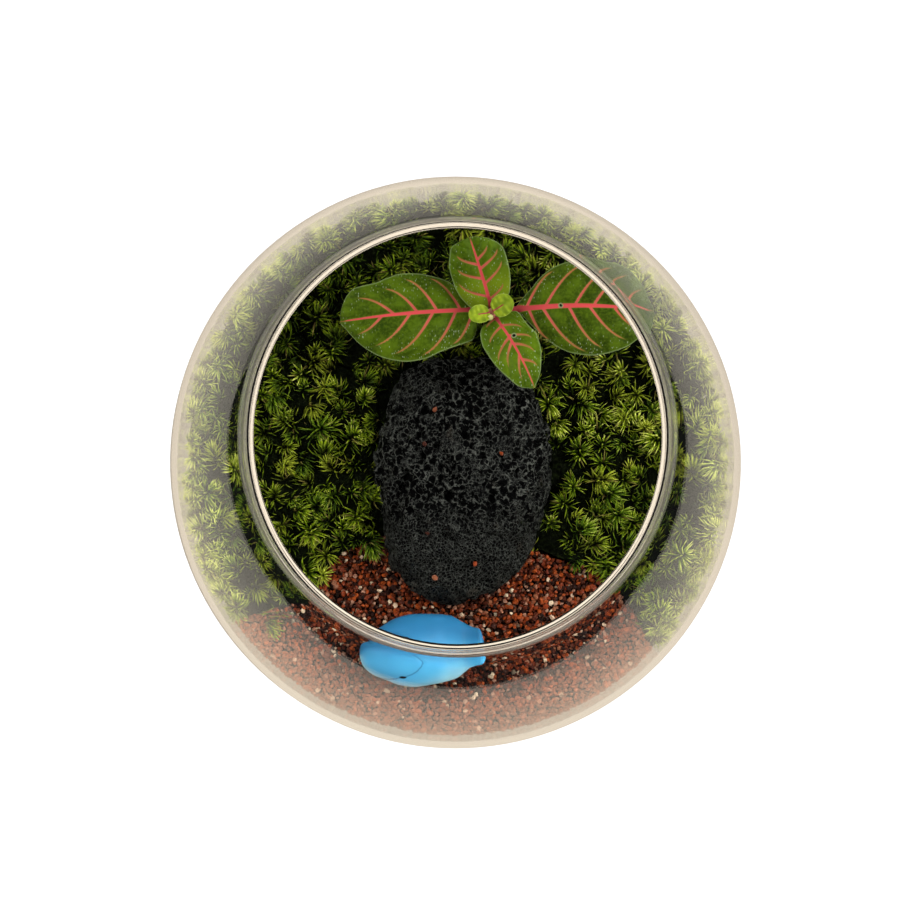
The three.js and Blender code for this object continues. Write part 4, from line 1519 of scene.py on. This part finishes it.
def make_gravel():
    gravel, rock = gravel_outline(), rock_outline(-0.7)
    lots = [gravel_on_top(gravel, rock, *layer) for layer in ((1.12, 0.2), (1.35, 0.9))]
    lots.append(gravel_by_glass(gravel))
    lots += [gravel_on_ground(gravel, rock, level) for level in (0.3, 1.3, 2.3)]
    lots.append(gravel_on_rock())
    places, sizes = zip(*lots)
    points, faces, values = strewn([stone(k, 0.2) for k in range(9)], np.vstack(places),
                                   np.concatenate(sizes))
    grains = made("gravel_grains", against_glass(points), faces, smoothly=False, **values)
    dressed(grains, grain_finish(), "lava_gravel", "red_gravel")
    bed = core("red_gravel", 1.0, 1.3, lambda x, y: ground_z(x, y) + 2)
    dressed(bed, between_finish(), "lava_gravel", "red_gravel")


# ---------------------------------------------------------------- the layers below the planting

def ring_places(low, high, spacing, depth, seed):
    """Places just inside the glass between two heights, in offset rows."""
    own, places = np.random.default_rng(seed), []
    rows = max(1, round((high - low) / spacing))
    for row in range(rows):
        z = mix(low, high, (row + 0.5) / rows)
        radius = float(room(z)) - depth
        count = int(FULL_TURN * radius / spacing)
        turn = staggered(count, row) + own.normal(0, 0.15 * spacing / radius, count)
        x, y = around(radius + own.uniform(-0.3, 0.0, count) * depth, turn)
        places.append(np.stack([x, y, np.full(count, z) + own.normal(0, 0.1 * spacing, count)], 1))
    return np.vstack(places)


def shadow_finish(name, code, scale):
    """A matte near-black filling, painted shade seen between loose pieces."""
    painted_shade_filling = Finish(name, Roughness=0.9)
    lump = painted_shade_filling.noise(scale, 4.0)
    return painted_shade_filling.set(Base_Color=painted_shade_filling.blend(lump.ease(0.35, 0.65), code, (0.004, 0.003, 0.002, 1)),
                    Normal=painted_shade_filling.bump(lump, 0.7))


def dress_layer(node, slot, loose, finish, shrink, painted_shade_filling):
    """Dresses a layer's loose pieces, and behind them its own solid as a matte filling in painted
    shade.
    """
    dressed(loose, finish, slot, node)
    dressed(core(node, shrink), painted_shade_filling, slot, node)


def pebble_finish():
    pebble = Finish("river_pebbles")
    vein = pebble.noise(260, 4.0)
    colour = pebble.band(pebble.value("tint"), (0.0, "6e6a63"), (0.25, "a39a8a"), (0.5, "b9aa90"),
                         (0.7, "8b8d8c"), (0.85, "c9c2b2"), (1.0, "7c6a58"))
    colour = pebble.blend(vein.ease(0.45, 0.7) * 0.5, colour, "d3ccbc")
    return pebble.set(Base_Color=colour, Roughness=vein.ease(0.3, 0.7, 0.4, 0.6),
                      Normal=pebble.bump(vein, 0.2))


def make_pebbles():
    low, high = PEBBLES
    rounded = [stone(100 + k, 0.06, (1, .85, .72), subdivisions=2) for k in range(6)]
    bottom = scattered(6.0, float(room(8)) - 3)
    places = np.vstack([ring_places(low + 0.6, high, 5.0, 3.0, 1),
                        np.column_stack([bottom, np.full(len(bottom), low + 2.9)])])
    points, faces, values = strewn(rounded, places, dice.uniform(5.2, 7.4, len(places)))
    points[:, 2] = np.clip(points[:, 2], low, high)
    loose = made("loose_pebbles", against_glass(points), faces, **values)
    dress_layer("drainage_pebbles", "pebbles", loose, pebble_finish(), 4.5,
                shadow_finish("pebble_shadow", "2b2824", 500))


def charcoal_finish():
    char = Finish("charcoal_chips")
    grain = char.noise(1500, 3.0)
    black = char.band(grain, (0.3, "0b0c0d"), (0.6, "1d1f21"), (0.8, "36393c"))
    return char.set(Base_Color=char.blend(char.value("tint") * 0.5, black, "2b2e31"),
                    Roughness=grain.ease(0.3, 0.7, 0.45, 0.85), Normal=char.bump(grain, 0.4))


def make_charcoal():
    low, high = CHARCOAL
    chips = [stone(200 + k, 0.26, (1, .7, .6)) for k in range(8)]
    places = ring_places(low + 0.2, high - 0.2, 2.0, 1.1, 2)
    points, faces, values = strewn(chips, places, dice.uniform(2.2, 3.4, len(places)))
    points[:, 2] = np.clip(points[:, 2], low, high)
    loose = made("charcoal_pieces", against_glass(points), faces, smoothly=False, **values)
    dress_layer("charcoal_layer", "charcoal", loose, charcoal_finish(), 1.3,
                shadow_finish("charcoal_painted_shade", "0d0e0f", 900))


def soil_finish():
    soil = Finish("potting_soil_crumbs", Roughness=0.85, Specular_IOR_Level=0.3)
    crumb = soil.noise(1300, 4.0)
    colour = soil.band(soil.value("tint"), (0.0, "1d130c"), (0.4, "2e1f14"), (0.75, "432c1b"),
                       (0.93, "5d4128"), (0.95, "cfc8ba"), (0.965, "3b281a"), (1.0, "251810"))
    return soil.set(Base_Color=soil.blend(crumb.ease(0.4, 0.7) * 0.6, colour, "160e08"),
                    Normal=soil.bump(crumb, 0.5))


def make_soil():
    crumbs = [stone(300 + k, 0.3, (1, .8, .7)) for k in range(8)]
    places = ring_places(SOIL_BOTTOM + 0.5, 47.6, 1.75, 0.75, 3)
    # The rows are spread out between the bottom of the soil and the uneven ground.
    x, y, z = places.T
    z = mix(SOIL_BOTTOM + 0.7, ground_z(x, y) - 0.5, (z - SOIL_BOTTOM) / 20.5)
    scale = (room(z) - 0.85) / np.hypot(x, y)
    places = np.stack([x * scale, y * scale, z], 1)
    points, faces, values = strewn(crumbs, places, dice.uniform(1.2, 2.5, len(places)))
    points = against_glass(points)
    points[:, 2] = np.maximum(points[:, 2], SOIL_BOTTOM)
    loose = made("soil_crumbs", points, faces, smoothly=False, **values)
    dress_layer("potting_soil", "soil", loose, soil_finish(), 1.0,
                shadow_finish("soil_painted_shade", "2a1c12", 700))


def dress_hidden():
    """Gives finishes to the filter mesh and the root ball, which keep their solids."""
    weave = Finish("filter_weave", Roughness=0.6)
    across, along = (weave.node("ShaderNodeTexWave", {"Vector": weave.place(), "Scale": 160.0},
                                out=1, bands_direction=way) for way in "XY")
    thread = across.most(along)
    weave.set(Base_Color=weave.band(thread, (0.2, "050606"), (0.7, "1d2322"), (1.0, "39413f")),
              Normal=weave.bump(thread, 0.2))
    weave.on(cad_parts["filter_mesh"])
    roots = Finish("fine_roots", Roughness=0.85)
    strand = roots.noise(500, 5.0, 0.7)
    roots.set(Base_Color=roots.band(strand, (0.35, "1f140c"), (0.55, "4a3524"), (0.7, "b59f7d")),
              Normal=roots.bump(strand, 0.6))
    roots.on(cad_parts["root_ball"])


# ---------------------------------------------------------------- making it

scene = bpy.context.scene
scene.view_settings.view_transform = "Standard"
scene.view_settings.look = "None"
for kind, bounces in dict(max_bounces=64, transmission_bounces=64, glossy_bounces=24,
                          diffuse_bounces=4, transparent_max_bounces=16).items():
    setattr(scene.cycles, kind, bounces)

set_camera()
set_floor()
set_surroundings()
set_lamps()
make_bowl()
make_rock()
make_moss()
make_plant()
make_whale()
make_gravel()
make_pebbles()
make_charcoal()
make_soil()
dress_hidden()
